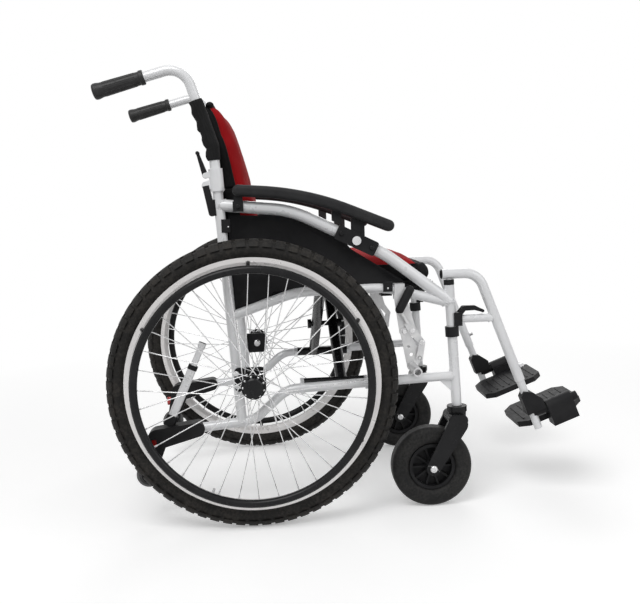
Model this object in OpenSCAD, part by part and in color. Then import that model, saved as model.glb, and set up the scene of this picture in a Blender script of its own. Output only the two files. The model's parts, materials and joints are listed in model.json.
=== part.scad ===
// All terrain wheelchair with a folding cross-brace frame.
// X runs forward, Y to the left, Z up, in millimetres. Side views are [x, z] pairs, with x from the rear axle.
// One side is drawn with its outer face towards +Y, and the right side is its mirror image.

/* [Wheels] */
// Height of the rear tyre above the rim
tyre_h = 38; // [30:1:44]
// Width of the rear tyre
tyre_w = 47; // [40:1:54]
// Wheel mid plane outward of the side frame's tube plane
wheel_out = 69; // [64:1:80]
// Outer diameter of the rim at its flanges
rim_d = 534; // [500:1:540]
// Width of the rim
rim_w = 30; // [24:1:32]
// Radial depth of the rim section
rim_depth = 17; // [14:1:22]
// Mean diameter of the handrim
handrim_d = 488; // [460:1:500]
// Tube diameter of the handrim
handrim_tube_d = 17; // [14:1:20]
// Handrim mid plane outward of the wheel mid plane
handrim_out = 40; // [34:1:46]
// Tabs that carry the handrim
handrim_tabs = 6; // [4:1:8]
// Spokes in one wheel
spoke_count = 36; // [28:4:36]
// Spoke diameter
spoke_d = 2.2; // [1.8:0.1:2.6]
// Turn of a spoke between its hub hole and its rim hole
spoke_lean = 58; // [40:1:64]
// Diameter of the hub flange
hub_flange_d = 52; // [44:1:60]
// Diameter of the hub barrel
hub_d = 31; // [26:1:36]
// Diameter of the cap on the hub's outer end
hub_cap_d = 41; // [34:1:44]
// Length of the hub from its inner to its outer end
hub_len = 86; // [80:1:90]
// Diameter of the wheel axle
axle_d = 12; // [10:0.5:14]
// Tread blocks on each side of the tyre
tread_count = 68; // [48:1:80]
// Gap between two tread blocks
tread_gap = 9; // [6:1:12]
// Depth of the tread
tread_depth = 4; // [3:0.5:6]

/* [Castors] */
// Outer diameter of the castor
castor_d = 178; // [150:1:184]
// Width of the castor tyre
castor_w = 44; // [36:1:48]
// Castor axle, forward of the rear axle
castor_x = 383; // [375:1:395]
// Castor stem, forward of the rear axle
stem_x = 444; // [438:1:450]
// Diameter of the castor hub
castor_hub_d = 102; // [90:1:124]
// Webs in the castor hub
castor_webs = 10; // [6:1:12]
// Diameter of the castor stem
stem_d = 12; // [10:0.5:14]
// Thickness of a fork arm
fork_arm_t = 9; // [7:0.5:11]
// Diameter of the fork crown
crown_d = 44; // [38:1:46]
// Height of the fork crown's top above the floor
crown_top = 221; // [214:1:222]
// Diameter of the castor axle
castor_axle_d = 10; // [8:0.5:12]

/* [Side frame] */
// Distance between the tube planes of the two side frames
frame_w = 462; // [440:1:470]
// Frame tube diameter
tube_d = 22; // [20:0.5:24]
// Arm tube diameter
arm_tube_d = 26; // [22:0.5:28]
// Foot of the rear upright
upright_foot = [-31, 208]; // [-60:1:720]
// Top of the rear upright, where the back folds
upright_top = [-59, 709]; // [-80:1:720]
// Rear end of the bottom tube, inside the anti-tip arm
tail_end = [-150, 198]; // [-170:1:220]
// Lower corner of the S-bend
s_low = [-4, 211]; // [-20:1:230]
// Upper corner of the S-bend
s_high = [70, 276]; // [50:1:300]
// Front end of the lower rail
rail_front = [441, 289]; // [280:1:450]
// Bend radius of the S-bend
s_bend_r = 66; // [40:1:80]
// Rear end of the seat rail
seat_rail_rear = [-44, 441]; // [-60:1:450]
// First corner of the seat rail
seat_rail_a = [98, 488]; // [80:1:490]
// Second corner of the seat rail
seat_rail_b = [294, 489]; // [270:1:495]
// Front end of the seat rail
seat_rail_front = [434, 450]; // [420:1:460]
// Bend radius of the seat rail
seat_rail_r = 200; // [120:1:240]
// Rear end of the arm tube
arm_rear = [-57, 680]; // [-60:1:690]
// First corner of the arm tube
arm_a = [95, 664]; // [80:1:670]
// Second corner of the arm tube
arm_b = [292, 563]; // [280:1:570]
// Front end of the arm tube
arm_front = [433, 453]; // [425:1:460]
// Bend radius of the arm tube
arm_bend_r = 220; // [150:1:260]
// Top of the front upright
front_top = [432, 490]; // [425:1:500]
// Foot of the front upright
front_foot = [444, 222]; // [215:1:450]
// Height of the cap on the front upright
cap_h = 12; // [8:1:12]
// Rear lug of the cross-brace hinge
lug_rear_x = 104; // [95:1:115]
// Front lug of the cross-brace hinge
lug_front_x = 246; // [235:1:260]
// Width of a lug
lug_w = 8; // [6:1:10]
// Hinge pin diameter of the cross-brace
hinge_pin_d = 12; // [10:0.5:14]
// Gap between the lower rail and the hinge tube beside it
hinge_gap = 4; // [3:0.5:6]
// Thickness of the side guard
guard_t = 4; // [3:0.5:5]
// Length of the axle plate
axle_plate_l = 66; // [56:1:80]
// Height of the axle plate
axle_plate_h = 52; // [44:1:60]
// Thickness of the axle plate
axle_plate_t = 6; // [5:0.5:8]

/* [Cross-brace and seat] */
// Place of brace arm A along the chair
brace_a_x = 192; // [186:1:200]
// Place of brace arm B along the chair
brace_b_x = 152; // [146:1:158]
// Brace arm diameter
brace_d = 25; // [22:0.5:26]
// Height of the brace hinge axis
brace_z = 282; // [278:1:286]
// Height of the seat tubes
seat_tube_z = 486; // [480:1:492]
// Seat tube diameter
seat_tube_d = 22; // [20:0.5:24]
// Rear end of the seat tubes
seat_tube_rear = -6; // [-20:1:10]
// Front end of the seat tubes
seat_tube_front = 402; // [390:1:412]
// Gap between a seat tube and the side guard
seat_tube_gap = 3; // [2:0.5:5]
// Pivot bolt diameter
pivot_d = 12; // [10:0.5:14]
// Thickness of the seat sling
sling_t = 3; // [2:0.5:4]
// Thickness of the seat cushion at its edge
cushion_edge = 34; // [26:1:44]
// Crown of the seat cushion above its edge
cushion_crown = 12; // [8:1:24]
// Gap between the seat cushion and a side guard
cushion_gap = 11.5; // [8:0.5:20]
// Rear end of the seat cushion
cushion_rear = 8; // [0:1:20]
// Front end of the seat cushion
cushion_front = 408; // [400:1:440]
// Drop of the cushion's rolled front
cushion_roll = 30; // [10:1:34]
// Draw-in of the cushion's sides between its corners
cushion_draw = 7; // [3:1:12]

/* [Back] */
// Corner where the cane leans back
cane_bend = [-64, 802]; // [-80:1:830]
// Corner where the cane turns to the push handle
cane_corner = [-117, 971]; // [-130:1:985]
// Rear end of the push grip
grip_end = [-305, 921]; // [-320:1:940]
// Bend radius of the push handle
handle_r = 44; // [36:1:54]
// Length of the push grip
grip_len = 110; // [95:1:120]
// Push grip diameter at its front
grip_front_d = 28; // [26:1:32]
// Push grip diameter at its rear
grip_rear_d = 34; // [30:1:36]
// Pivot of the folding back
back_pivot = [-83, 722]; // [-90:1:730]
// Pivot pin diameter of the folding back
back_pin_d = 8; // [6:0.5:10]
// Height of the hinge casting
casting_h = 47; // [40:1:52]
// Diameter of the hinge casting's socket
casting_d = 30; // [28:1:34]
// Width of the hinge lug on the casting
casting_lug_w = 14; // [12:1:16]
// Top of the back upholstery
back_top = 902; // [890:1:905]
// Height where the upper and the lower back pad meet
back_split = 716; // [712:1:724]
// Lower edge of the lower back pad
back_bottom = 556; // [545:1:575]
// Gap between a back pad's edge and the plane of a side guard
back_gap = 13.5; // [11:0.5:24]
// Thickness of the back pad near its top
back_pad_t = 36; // [26:1:42]
// Thickness of the back pad at the loins
lumbar_t = 57; // [44:1:62]
// Height below which the back pad has its full thickness
lumbar_z = 694; // [660:1:715]
// Draw-in of the back pads' sides
back_draw = 6; // [3:1:10]

/* [Armrest] */
// Rear end of the armrest pad, where it turns on its pin
pad_rear = [-15, 709]; // [-40:1:720]
// Corner of the armrest pad
pad_corner = [128, 697]; // [110:1:710]
// Front end of the armrest pad
pad_front = [300, 624]; // [290:1:630]
// Bend radius of the armrest pad
pad_bend_r = 600; // [300:10:700]
// Thickness of the armrest pad
pad_t = 25; // [20:1:28]
// Width of the armrest pad
pad_w = 44; // [40:1:48]
// Middle of the armrest pad outward of the arm tube's plane
pad_out = 8; // [6:0.5:12]
// Foot of the armrest's lug along the arm tube
arm_lug_x = -17; // [-22:1:-10]
// Length of the clamp block along the arm tube
clamp_l = 94; // [80:1:104]
// Height of the clamp block
clamp_h = 32; // [29:1:36]
// Place of the clamp block's middle along the chair
clamp_x = 231; // [222:1:240]
// Diameter of the push button
button_d = 19; // [15:1:22]

/* [Footrest] */
// Tilt of the footrest leg from the vertical, and of the footplate from the level
leg_tilt = 20.5; // [17:0.5:22]
// Lower end of the footrest's inner tube
foot_end = [628, 160]; // [150:1:640]
// Height of the hanger's top tube
hanger_z = 513.5; // [512:0.5:516]
// Rear end of the hanger's top tube
hanger_rear = 416; // [408:1:420]
// Bend radius of the hanger
hanger_r = 44; // [36:1:52]
// Hanger tube end above the foot end, along the leg
outer_end = 118; // [112:1:140]
// Diameter of the inner tube
inner_d = 18; // [16:0.5:18]
// Length of the inner tube inside the hanger
inner_in = 60; // [40:1:80]
// Height of the hanger's strut
strut_z = 414; // [408:1:420]
// Diameter of the strut
strut_d = 18; // [16:0.5:20]
// Diameter of the hanger's pivot pin
swing_pin_d = 12; // [10:0.5:14]
// Length of the hanger's pivot pin below the cap
swing_pin_l = 60; // [40:1:80]
// Length of the footplate
plate_l = 153; // [140:1:158]
// Width of the footplate from its hinge inward
plate_w = 149; // [130:1:156]
// Thickness of the footplate
plate_t = 13; // [10:1:14]
// Ribs on the footplate
plate_ribs = 8; // [5:1:10]
// Diameter of the footplate's hinge stub
stub_d = 20; // [18:0.5:21]
// Height of the hinge stub above the foot end, along the leg
stub_up = 36; // [34:1:40]
// Front end of the hinge stub, along the plate
stub_front = 106; // [98:1:112]

/* [Brake] */
// Brake bar at rest, ahead of the tyre
bar_fwd = 38; // [35:1:42]
// Height of the brake bar
bar_z = 318; // [312:1:324]
// Diameter of the brake bar
bar_d = 19; // [16:1:20]
// Pivot of the bar's arm, from the bar
bar_pivot_at = [-15, 76]; // [-18:1:80]
// Pivot of the brake lever, from the bar
lever_pivot_at = [1.5, 78]; // [0:0.5:80]
// Joint of the lever and its link, from the lever's pivot
lever_foot_at = [20.4, -26]; // [-28:0.2:22]
// Joint of the link and the bar's arm, from the bar
link_foot_at = [15.6, 18.5]; // [15:0.1:20]
// Lower end of the brake grip, from the lever's pivot
brake_grip_low_at = [-26.5, 47]; // [-28:0.5:50]
// Upper end of the brake grip, from the lever's pivot
brake_grip_high_at = [-3.5, 89]; // [-5:0.5:92]
// Diameter of the brake grip
brake_grip_d = 19; // [16:1:20]
// Thickness of the brake plates
brake_t = 4; // [3:0.5:5]

/* [Anti-tip and pump] */
// Anti-tip wheel axle
tip_axle = [-238, 103]; // [-250:1:120]
// Diameter of the anti-tip wheel
tip_d = 54; // [46:1:60]
// Width of the anti-tip wheel
tip_w = 20; // [16:1:24]
// Knee of the anti-tip arm
tip_knee = [-214, 183]; // [-220:1:190]
// Front end of the anti-tip arm
tip_front = -113; // [-120:1:-105]
// Lower end of the pump
pump_low = [-184, 222]; // [-190:1:230]
// Length of the pump
pump_l = 182; // [160:1:200]
// Width of the pump barrel
pump_d = 19; // [16:1:22]
// Thickness of the pump barrel
pump_t = 12; // [10:1:14]
// Lean of the pump from the vertical
pump_lean = 25; // [20:1:27]

/* [Fits] */
// Radial clearance of a running fit
run_gap = 0.08; // [0.04:0.01:0.1]
// Gap between surfaces that move past each other
face_gap = 0.4; // [0.3:0.1:0.6]

/* [Hidden] */
$fn = 48;
bend_lap = 0.6;
bend_step = 0.05;
link_step = 0.04;
tyre_d = rim_d + 2 * tyre_h;
tyre_r = tyre_d / 2;
tyre_mid = tyre_r - tyre_w / 2;
shoulder_r = tyre_mid + 8;
tread_split = 6;
rail_d = tube_d - 1;
rim_r = rim_d / 2;
rim_wall = 2.5;
rim_seat = 8;
valve_at = 113;
valve_l = 12;
valve_d = 6;
spoke_step = 2.6;
flange_t = 6;
flange_in = 17;
hub_cap_l = 12;
tab_d = 9;
frame_y = frame_w / 2;
wheel_y = frame_y + wheel_out;
castor_r = castor_d / 2;
outer_y = frame_y + tube_d / 2;
guard_y = frame_y - arm_tube_d / 2 - face_gap - guard_t;
seat_tube_y = guard_y - seat_tube_gap - seat_tube_d / 2;
hinge_tube_d = tube_d;
brace_y = frame_y - tube_d / 2 - hinge_gap - hinge_tube_d / 2;
pivot_z = brace_z + (seat_tube_z - brace_z) * brace_y / (brace_y + seat_tube_y);
saddle_xs = [60, 296];
saddle_l = 24;
saddle_wall = 5;
guard_clip_l = 20;
guard_clip_t = 3;
guard_clip_z = 622;
guard_clip_h = 28;
rail_clip_x = 296;
cushion_half = guard_y - cushion_gap;
back_half = guard_y - back_gap;
axle_plate_y = outer_y + face_gap / 2;
axle_plate_out = axle_plate_y + axle_plate_t;
hub_in = wheel_y - hub_len / 2;
flange_z = hub_len / 2 - flange_in;
fork_in = castor_w / 2 + 3;
fork_half = fork_in + fork_arm_t;
collar_l = 12;
shoulder = [stem_x - 5, crown_top - 36];
crown_mid = crown_top - 27;
front_axis = unit(front_top - front_foot);
cane_dir = unit(cane_bend - upright_top);
grip_dir = unit(cane_corner - grip_end);
back_ear_t = 4;
arm_lug_t = 5;
arm_pin_d = 6;
arm_pin_side = 7;
arm_lug_y = frame_y + arm_tube_d / 2 + face_gap;
arm_pivot = pad_rear;
pad_y = frame_y + pad_out;
pad_edge = 9;
post_w = 16;
posts = [[181, 201], [222, 250]];
arm_slope = atan2(arm_b[1] - arm_a[1], arm_b[0] - arm_a[0]);
clamp_at = [clamp_x, z_at(arm_a, arm_b, clamp_x)];
clamp_in = frame_y - 6;
clip_in = guard_y + guard_t + face_gap + 1;
clamp_out = frame_y + arm_tube_d / 2 + 6;
button_proud = 3;
button_sink = 0.6;
leg_dir = [-sin(leg_tilt), cos(leg_tilt)];
plate_dir = [cos(leg_tilt), sin(leg_tilt)];
hanger_corner = [foot_end[0] - (hanger_z - foot_end[1]) * tan(leg_tilt), hanger_z];
hanger_end = foot_end + leg_dir * outer_end;
saddle_z = [400, 429];
catch_z = [376, 398];
plate_low = 5;
plate_rear = -33;
plate_front = plate_rear + plate_l;
plate_out = frame_y - 15;
plate_cut = 22;
plate_edge = 18;
rib_w = 4;
rib_proud = 1.6;
house_rear = 33;
house_front = 92;
house_low = -6;
house_wall = 6.5;
foot_clamp = [[-14, 40], [-14, 82], [-4, 93], [12, 86], [30, 62], [28, 40]];
foot_clamp_w = 28;
leg_bolt_up = 150;
leg_bolt_d = 14;
brake_y = outer_y + 1;
brake_pin_d = 8;
arm_step = brake_y + brake_t + face_gap;
lever_step = arm_step + brake_t + face_gap;
link_step_y = lever_step + brake_t + face_gap;
brake_grip_y = lever_step + 6;
bar_at = [tyre_r + bar_fwd, bar_z];
bar_bore = bar_d - 6;
bar_pivot = bar_at + bar_pivot_at;
lever_pivot = bar_at + lever_pivot_at;
lever_foot = lever_pivot + lever_foot_at;
link_foot = bar_at + link_foot_at;
link_slack = 2;
link_pin_d = 6;
brake_grip_low = lever_pivot + brake_grip_low_at;
brake_grip_high = lever_pivot + brake_grip_high_at;
lever_rod_d = 8;
lever_rod_at = lever_pivot + [-10.5, 16];
brake_clip_x = bar_at[0] - 22;
brake_clip_l = 22;
brake_clip_h = 34;
release_pivot = [-83, 743];
release_tip = [-97, 790];
release_w = 10;
release_pin_d = 5;
catch_pivot = [463, 437];
catch_bend = [487, 437];
catch_tip = [504, 430];
catch_w = 11;
tip_arm_w = 36;
tip_sleeve = [tip_front - 14, 200];
tip_window = [11, 18];
reflector_at = [-250, 158];
reflector_d = 22;
leaf_z = 664;
leaf_h = 34;
tip_pin_d = 6;
pump_dir = [sin(pump_lean), cos(pump_lean)];
back_x = 9;
sheet_t = 3;
sleeve_low = 776;
grip_low_x = grip_end[0] - grip_rear_d / 2 * grip_dir[1];
plate_high_x = foot_end[0] + plate_front * plate_dir[0] + plate_low * leg_dir[0];
mid_x = (grip_low_x + plate_high_x) / 2;

// Points and directions in a side view
function unit(v) = v / norm(v);
function heading(v) = atan2(v[1], v[0]);
function x_at(a, b, z) = a[0] + (b[0] - a[0]) * (z - a[1]) / (b[1] - a[1]);
function z_at(a, b, x) = a[1] + (b[1] - a[1]) * (x - a[0]) / (b[0] - a[0]);
function rail_z(x) = z_at(s_high, rail_front, x);
function seat_rail_z(x) = x < seat_rail_a[0] ? z_at(seat_rail_rear, seat_rail_a, x)
    : x < seat_rail_b[0] ? z_at(seat_rail_a, seat_rail_b, x) : z_at(seat_rail_b, seat_rail_front, x);
function turn(p, i) = let (u = p[i] - p[i - 1], w = p[i + 1] - p[i])
    atan2(u[0] * w[1] - u[1] * w[0], u[0] * w[0] + u[1] * w[1]);
function trim(p, i, r) = i == 0 || i == len(p) - 1 ? 0 : r * tan(abs(turn(p, i)) / 2);

// Both sides of the chair, moved so that the middle of its length is at the origin
module left() {
    translate([-mid_x, 0, 0]) children();
}
module right() {
    translate([-mid_x, 0, 0]) mirror([0, 1, 0]) children();
}

// Turns a drawing in x and y into a side view in x and z
module side_view(y) {
    translate([0, y, 0]) rotate([90, 0, 0]) children();
}
// Flat plate drawn in a side view, from y outward
module side_plate(y, t) {
    side_view(y + t) linear_extrude(t) children();
}
// Round pin across the chair
module cross_pin(at, y, l, d) {
    translate([at[0], y, at[1]]) rotate([-90, 0, 0]) cylinder(h = l, d = d);
}
// Straight round rod between two points in space
module rod(a, b, d) {
    v = b - a;
    translate(a) rotate([0, acos(v[2] / norm(v)), atan2(v[1], v[0])]) cylinder(h = norm(v), d = d);
}
// Sweep along straight runs and bends, drawn in x and y. The bends have the first section, and the straight
// runs the second one, a little smaller, whose ends lie inside the bends.
module sweep(p, r) {
    for (i = [0 : len(p) - 2]) {
        dir = unit(p[i + 1] - p[i]);
        a = p[i] + dir * (i == 0 ? 0 : trim(p, i, r) - bend_lap);
        b = p[i + 1] - dir * (i == len(p) - 2 ? 0 : trim(p, i + 1, r) - bend_lap);
        translate([a[0], a[1], 0]) rotate([90, 0, 90 + heading(dir)]) linear_extrude(norm(b - a)) children(1);
    }
    if (len(p) > 2) for (i = [1 : len(p) - 2]) {
        u = unit(p[i] - p[i - 1]);
        w = unit(p[i + 1] - p[i]);
        bend = turn(p, i);
        from = p[i] - u * trim(p, i, r);
        to = p[i] + w * trim(p, i, r);
        centre = from + sign(bend) * r * [-u[1], u[0]];
        first = bend > 0 ? from : to;
        translate([centre[0], centre[1], 0]) rotate([0, 0, heading(first - centre)])
            rotate_extrude(angle = abs(bend)) translate([r, 0]) children(0);
    }
}
// Bent round tube in a side view
module tube(p, r, d, y = frame_y) {
    side_view(y) sweep(p, r) {
        circle(d = d);
        circle(d = d - 2 * bend_step);
    }
}
// Outline of a link: two rounded ends joined by lines that run just inside their tangents
module link(a, ra, b, rb) {
    d = norm(b - a);
    side = acos((ra - rb) / d);
    t = heading(b - a);
    function rim(c, r, f) = c + r * [cos(f), sin(f)];
    sa = ra - link_step;
    sb = rb - link_step;
    polygon([rim(a, sa, t + side), rim(b, sb, t + side), rim(b, sb, t - side), rim(a, sa, t - side)]);
    translate(a) circle(ra);
    translate(b) circle(rb);
}
// Rod with round ends, up from the origin
module capsule(h, r) {
    rotate_extrude() difference() {
        link([0, 0], r, [0, h], r * 0.999);
        translate([-2 * r, -2 * r]) square([2 * r, h + 4 * r]);
    }
}
// Rectangle with round corners, about its middle
module rounded(l, h, r) {
    square([l - 2 * r, h], center = true);
    square([l, h - 2 * r], center = true);
    for (x = [-1, 1], y = [-1, 1]) translate([x * (l / 2 - r), y * (h / 2 - r)]) circle(r);
}
// Frames in which pieces are drawn
module on_front_upright() {
    translate([front_top[0], frame_y, front_top[1]])
        rotate([0, -atan2(-front_axis[0], front_axis[1]), 0]) children();
}
module on_wheel() {
    translate([0, wheel_y, tyre_r]) rotate([-90, 0, 0]) children();
}
module on_castor() {
    translate([castor_x, frame_y, castor_r]) rotate([-90, 0, 0]) children();
}
module on_foot() {
    translate([foot_end[0], 0, foot_end[1]]) rotate([0, -leg_tilt, 0]) children();
}
module on_pump() {
    translate([pump_low[0], frame_y, pump_low[1]]) rotate([0, pump_lean, 0]) children();
}
module on_grip() {
    translate([grip_end[0], frame_y, grip_end[1]]) rotate([0, 90 - heading(grip_dir), 0]) children();
}

// Closed skin over rings of points, with a fan at each end
module loft(rings) {
    n = len(rings);
    m = len(rings[0]);
    function middle(ring) = [for (k = [0 : 2]) [for (q = ring) q[k]] * [for (q = ring) 1] / m];
    points = concat([for (ring = rings) each ring], [middle(rings[0]), middle(rings[n - 1])]);
    walls = [for (i = [0 : n - 2], j = [0 : m - 1]) let (k = (j + 1) % m)
        each [[i * m + j, (i + 1) * m + k, i * m + k], [i * m + j, (i + 1) * m + j, (i + 1) * m + k]]];
    ends = [for (j = [0 : m - 1]) let (k = (j + 1) % m)
        each [[n * m, j, k], [n * m + 1, (n - 1) * m + k, (n - 1) * m + j]]];
    polyhedron(points, concat(walls, ends));
}
function power(v, e) = sign(v) * pow(abs(v), e);
// Section of a cushion: half width a, crown b above and belly c below its widest line
function pillow(a, b, c, m = 28) = [for (j = [0 : m - 1]) let (f = 360 * j / m)
    [a * power(cos(f), 0.45), (sin(f) >= 0 ? b : c) * power(sin(f), 0.6)]];
// Stations along a cushion, closer together near its ends
function stations(n) = [for (i = [0 : n]) (1 - cos(180 * i / n)) / 2];
// Fullness along a cushion, rounding off at both ends
function full(t, e) = pow(max(0.02, 1 - pow(abs(2 * t - 1), e)), 0.35);

// Side frame
module side_frame() color("gainsboro") difference() {
    union() {
        tube([upright_foot, upright_top], 0, tube_d);
        tube([tail_end, s_low, s_high, rail_front], s_bend_r, rail_d);
        tube([seat_rail_rear, seat_rail_a, seat_rail_b, seat_rail_front], seat_rail_r, rail_d);
        tube([arm_rear, arm_a, arm_b, arm_front], arm_bend_r, arm_tube_d);
        tube([front_foot, front_top], 0, tube_d);
        side_plate(frame_y - 2.5, 5)
            polygon([[rail_front[0] - 44, rail_z(rail_front[0] - 44)], rail_front, rail_front - [0, 44]]);
        for (x = [lug_rear_x, lug_front_x]) translate([x - lug_w / 2, 0, 0]) rotate([90, 0, 90])
            linear_extrude(lug_w) link([frame_y, rail_z(x)], tube_d / 2 + 3, [brace_y, brace_z], tube_d / 2 + 1);
        rod([lug_rear_x, brace_y, brace_z], [lug_front_x, brace_y, brace_z], hinge_pin_d);
    }
    on_front_upright() translate([0, 0, -swing_pin_l - 2])
        cylinder(h = swing_pin_l + 3, d = swing_pin_d + 2 * run_gap);
    translate([stem_x, frame_y, front_foot[1] - 5]) cylinder(h = 65, d = stem_d + 2 * run_gap);
}

// Moulded fittings on the side frame
module frame_fittings() color("dimgray") {
    on_front_upright() difference() {
        cylinder(h = cap_h - 1, d = tube_d + 0.6);
        translate([0, 0, -1]) cylinder(h = cap_h + 1, d = swing_pin_d + 2 * run_gap);
    }
    on_front_upright() translate([0, 0, catch_z[0] - front_top[1]]) difference() {
        cylinder(h = catch_z[1] - catch_z[0], d = tube_d + 8);
        translate([0, 0, -1]) cylinder(h = catch_z[1] - catch_z[0] + 2, d = tube_d + face_gap / 2);
    }
    for (x = saddle_xs) saddle(x);
    back_leaf();
    arm_lug();
    guard_clips();
    arm_clamp();
}
// Open-topped seat for the folding seat tube
module saddle(x) difference() {
    saddle_low = seat_tube_y - seat_tube_d / 2 - saddle_wall;
    translate([x - saddle_l / 2, saddle_low, seat_tube_z - seat_tube_d / 2 - saddle_wall])
        cube([saddle_l, frame_y - rail_d / 2 - face_gap / 4 - saddle_low, seat_tube_d / 2 + saddle_wall]);
    rod([x - saddle_l, seat_tube_y, seat_tube_z], [x + saddle_l, seat_tube_y, seat_tube_z],
        seat_tube_d + 2 * face_gap);
}
// Clips that hold the guard to the rear upright and to the seat rail
module guard_clips() {
    difference() {
        translate([x_at(upright_foot, upright_top, guard_clip_z), frame_y + 2, guard_clip_z])
            cube([tube_d / 2 + 7, tube_d / 2 - 1, guard_clip_h]);
        tube([upright_foot, upright_top], 0, tube_d + face_gap / 2);
    }
    difference() {
        translate([rail_clip_x - guard_clip_l / 2, frame_y, seat_rail_z(rail_clip_x) - 7])
            cube([guard_clip_l, rail_d / 2 + guard_clip_t, rail_d / 2 + 7 + guard_clip_t]);
        tube([seat_rail_rear, seat_rail_a, seat_rail_b, seat_rail_front], seat_rail_r, rail_d + face_gap / 2);
    }
}
// Lug on the arm tube, with the armrest's pivot pin
module arm_lug() {
    base = [arm_lug_x, z_at(arm_rear, arm_a, arm_lug_x)];
    side_plate(arm_lug_y, arm_lug_t) link(base, 10, arm_pivot, 9);
    cross_pin(base, arm_lug_y + arm_lug_t - 1, 4, 10);
    difference() {
        translate([base[0] - 11, frame_y + 4, base[1] - 11]) cube([22, arm_lug_y + arm_lug_t - frame_y - 4, 22]);
        tube([arm_rear, arm_a], 0, arm_tube_d + face_gap / 2);
    }
    cross_pin(arm_pivot, arm_lug_y - arm_pin_side, arm_lug_t + 2 * arm_pin_side, arm_pin_d);
}
// Fixed half of the back hinge, behind the rear upright
module back_leaf() {
    low = [x_at(upright_foot, upright_top, leaf_z) - tube_d / 2 - 5, leaf_z];
    ear_in = casting_lug_w / 2 + face_gap;
    difference() {
        union() {
            for (s = [-1, 1]) side_plate(frame_y + (s > 0 ? ear_in : -ear_in - back_ear_t), back_ear_t)
                link(low, 7, back_pivot, back_pin_d / 2 + 3);
            translate([low[0] - 4, frame_y - ear_in - 1, low[1] - 6]) cube([16, 2 * ear_in + 2, leaf_h]);
        }
        tube([upright_foot, upright_top], 0, tube_d + face_gap / 2);
    }
    cross_pin(back_pivot, frame_y - ear_in - back_ear_t, 2 * (ear_in + back_ear_t), back_pin_d);
}

// Axle plate with the wheel axle and its bolts
module axle_carrier() color("dimgray") {
    plate_mid = [-42 + axle_plate_l / 2, tyre_r];
    side_plate(axle_plate_y, axle_plate_t) translate(plate_mid) rounded(axle_plate_l, axle_plate_h, 9);
    cross_pin([0, tyre_r], axle_plate_out, hub_in - face_gap - axle_plate_out, axle_d + 12);
    cross_pin([0, tyre_r], axle_plate_y, hub_in + hub_len - 8 - axle_plate_y, axle_d);
    for (z = [-14, 14]) cross_pin([x_at(upright_foot, upright_top, tyre_r + z), tyre_r + z], axle_plate_out, 4, 11);
}

// Black guard under the arm tube
module side_guard() color("dimgray") difference() {
    side_plate(guard_y, guard_t) polygon([
        arm_rear, arm_a, arm_b, arm_front, seat_rail_front, seat_rail_b, seat_rail_a, seat_rail_rear]);
    for (x = saddle_xs) translate([x - saddle_l / 2 - face_gap, guard_y - 1, seat_rail_rear[1] - 30])
        cube([saddle_l + 2 * face_gap, guard_t + 2, seat_tube_z + face_gap - seat_rail_rear[1] + 30]);
}

// Anti-tip arm on the tail of the bottom tube
module anti_tip_arm(with_pump = false) color("dimgray") {
    tail = unit(s_low - tail_end);
    difference() {
        union() {
            side_plate(frame_y - tip_arm_w / 2, tip_arm_w) {
                link(tip_sleeve, 15.5, tip_knee, 22);
                link(tip_knee, 22, tip_axle, 14);
            }
            translate([reflector_at[0], frame_y, reflector_at[1]]) rotate([0, 90, 0])
                cylinder(h = 22, d = reflector_d);
            if (with_pump) on_pump() translate([0, 0, -14]) linear_extrude(24) rounded(pump_d + 6, pump_t + 6, 5);
        }
        rod([tail_end[0] - tail[0], frame_y, tail_end[1] - tail[1]],
            [s_low[0], frame_y, s_low[1]], rail_d + face_gap / 2);
        cross_pin(tip_axle, frame_y - tip_w / 2 - 1, tip_w + 2, tip_d + 8);
        translate([tip_knee[0] - tip_window[0] - 2, frame_y + tip_arm_w / 2 - 6, tip_knee[1] - tip_window[1]])
            cube([tip_window[0], 7, tip_window[1]]);
        if (with_pump) on_pump() linear_extrude(20) rounded(pump_d + face_gap / 2, pump_t + face_gap / 2, 4);
    }
    cross_pin(tip_axle, frame_y - tip_arm_w / 2, tip_arm_w, tip_pin_d);
}
module anti_tip_wheel() color("gray") translate([tip_axle[0], frame_y, tip_axle[1]]) rotate([-90, 0, 0])
    rotate_extrude() translate([tip_pin_d / 2 + run_gap, 0])
        difference() {
            translate([tip_d / 4 - tip_pin_d / 4, 0]) rounded(tip_d / 2 - tip_pin_d / 2 - run_gap, tip_w, 4);
            translate([12, tip_w / 2 + 2]) circle(6);
            translate([12, -tip_w / 2 - 2]) circle(6);
        }

// Hand pump that stands in the right anti-tip arm
module hand_pump() color("lightgray") on_pump() {
    barrel = pump_l * 0.68;
    linear_extrude(barrel) rounded(pump_d, pump_t, 4);
    translate([0, 0, barrel - 5]) linear_extrude(10) rounded(pump_d + 2, pump_t + 2, 5);
    linear_extrude(pump_l - 4) rounded(pump_d - 5, pump_t - 3, 3);
    translate([0, 0, pump_l - 10]) linear_extrude(10) rounded(pump_d - 2, pump_t, 4);
}

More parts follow.
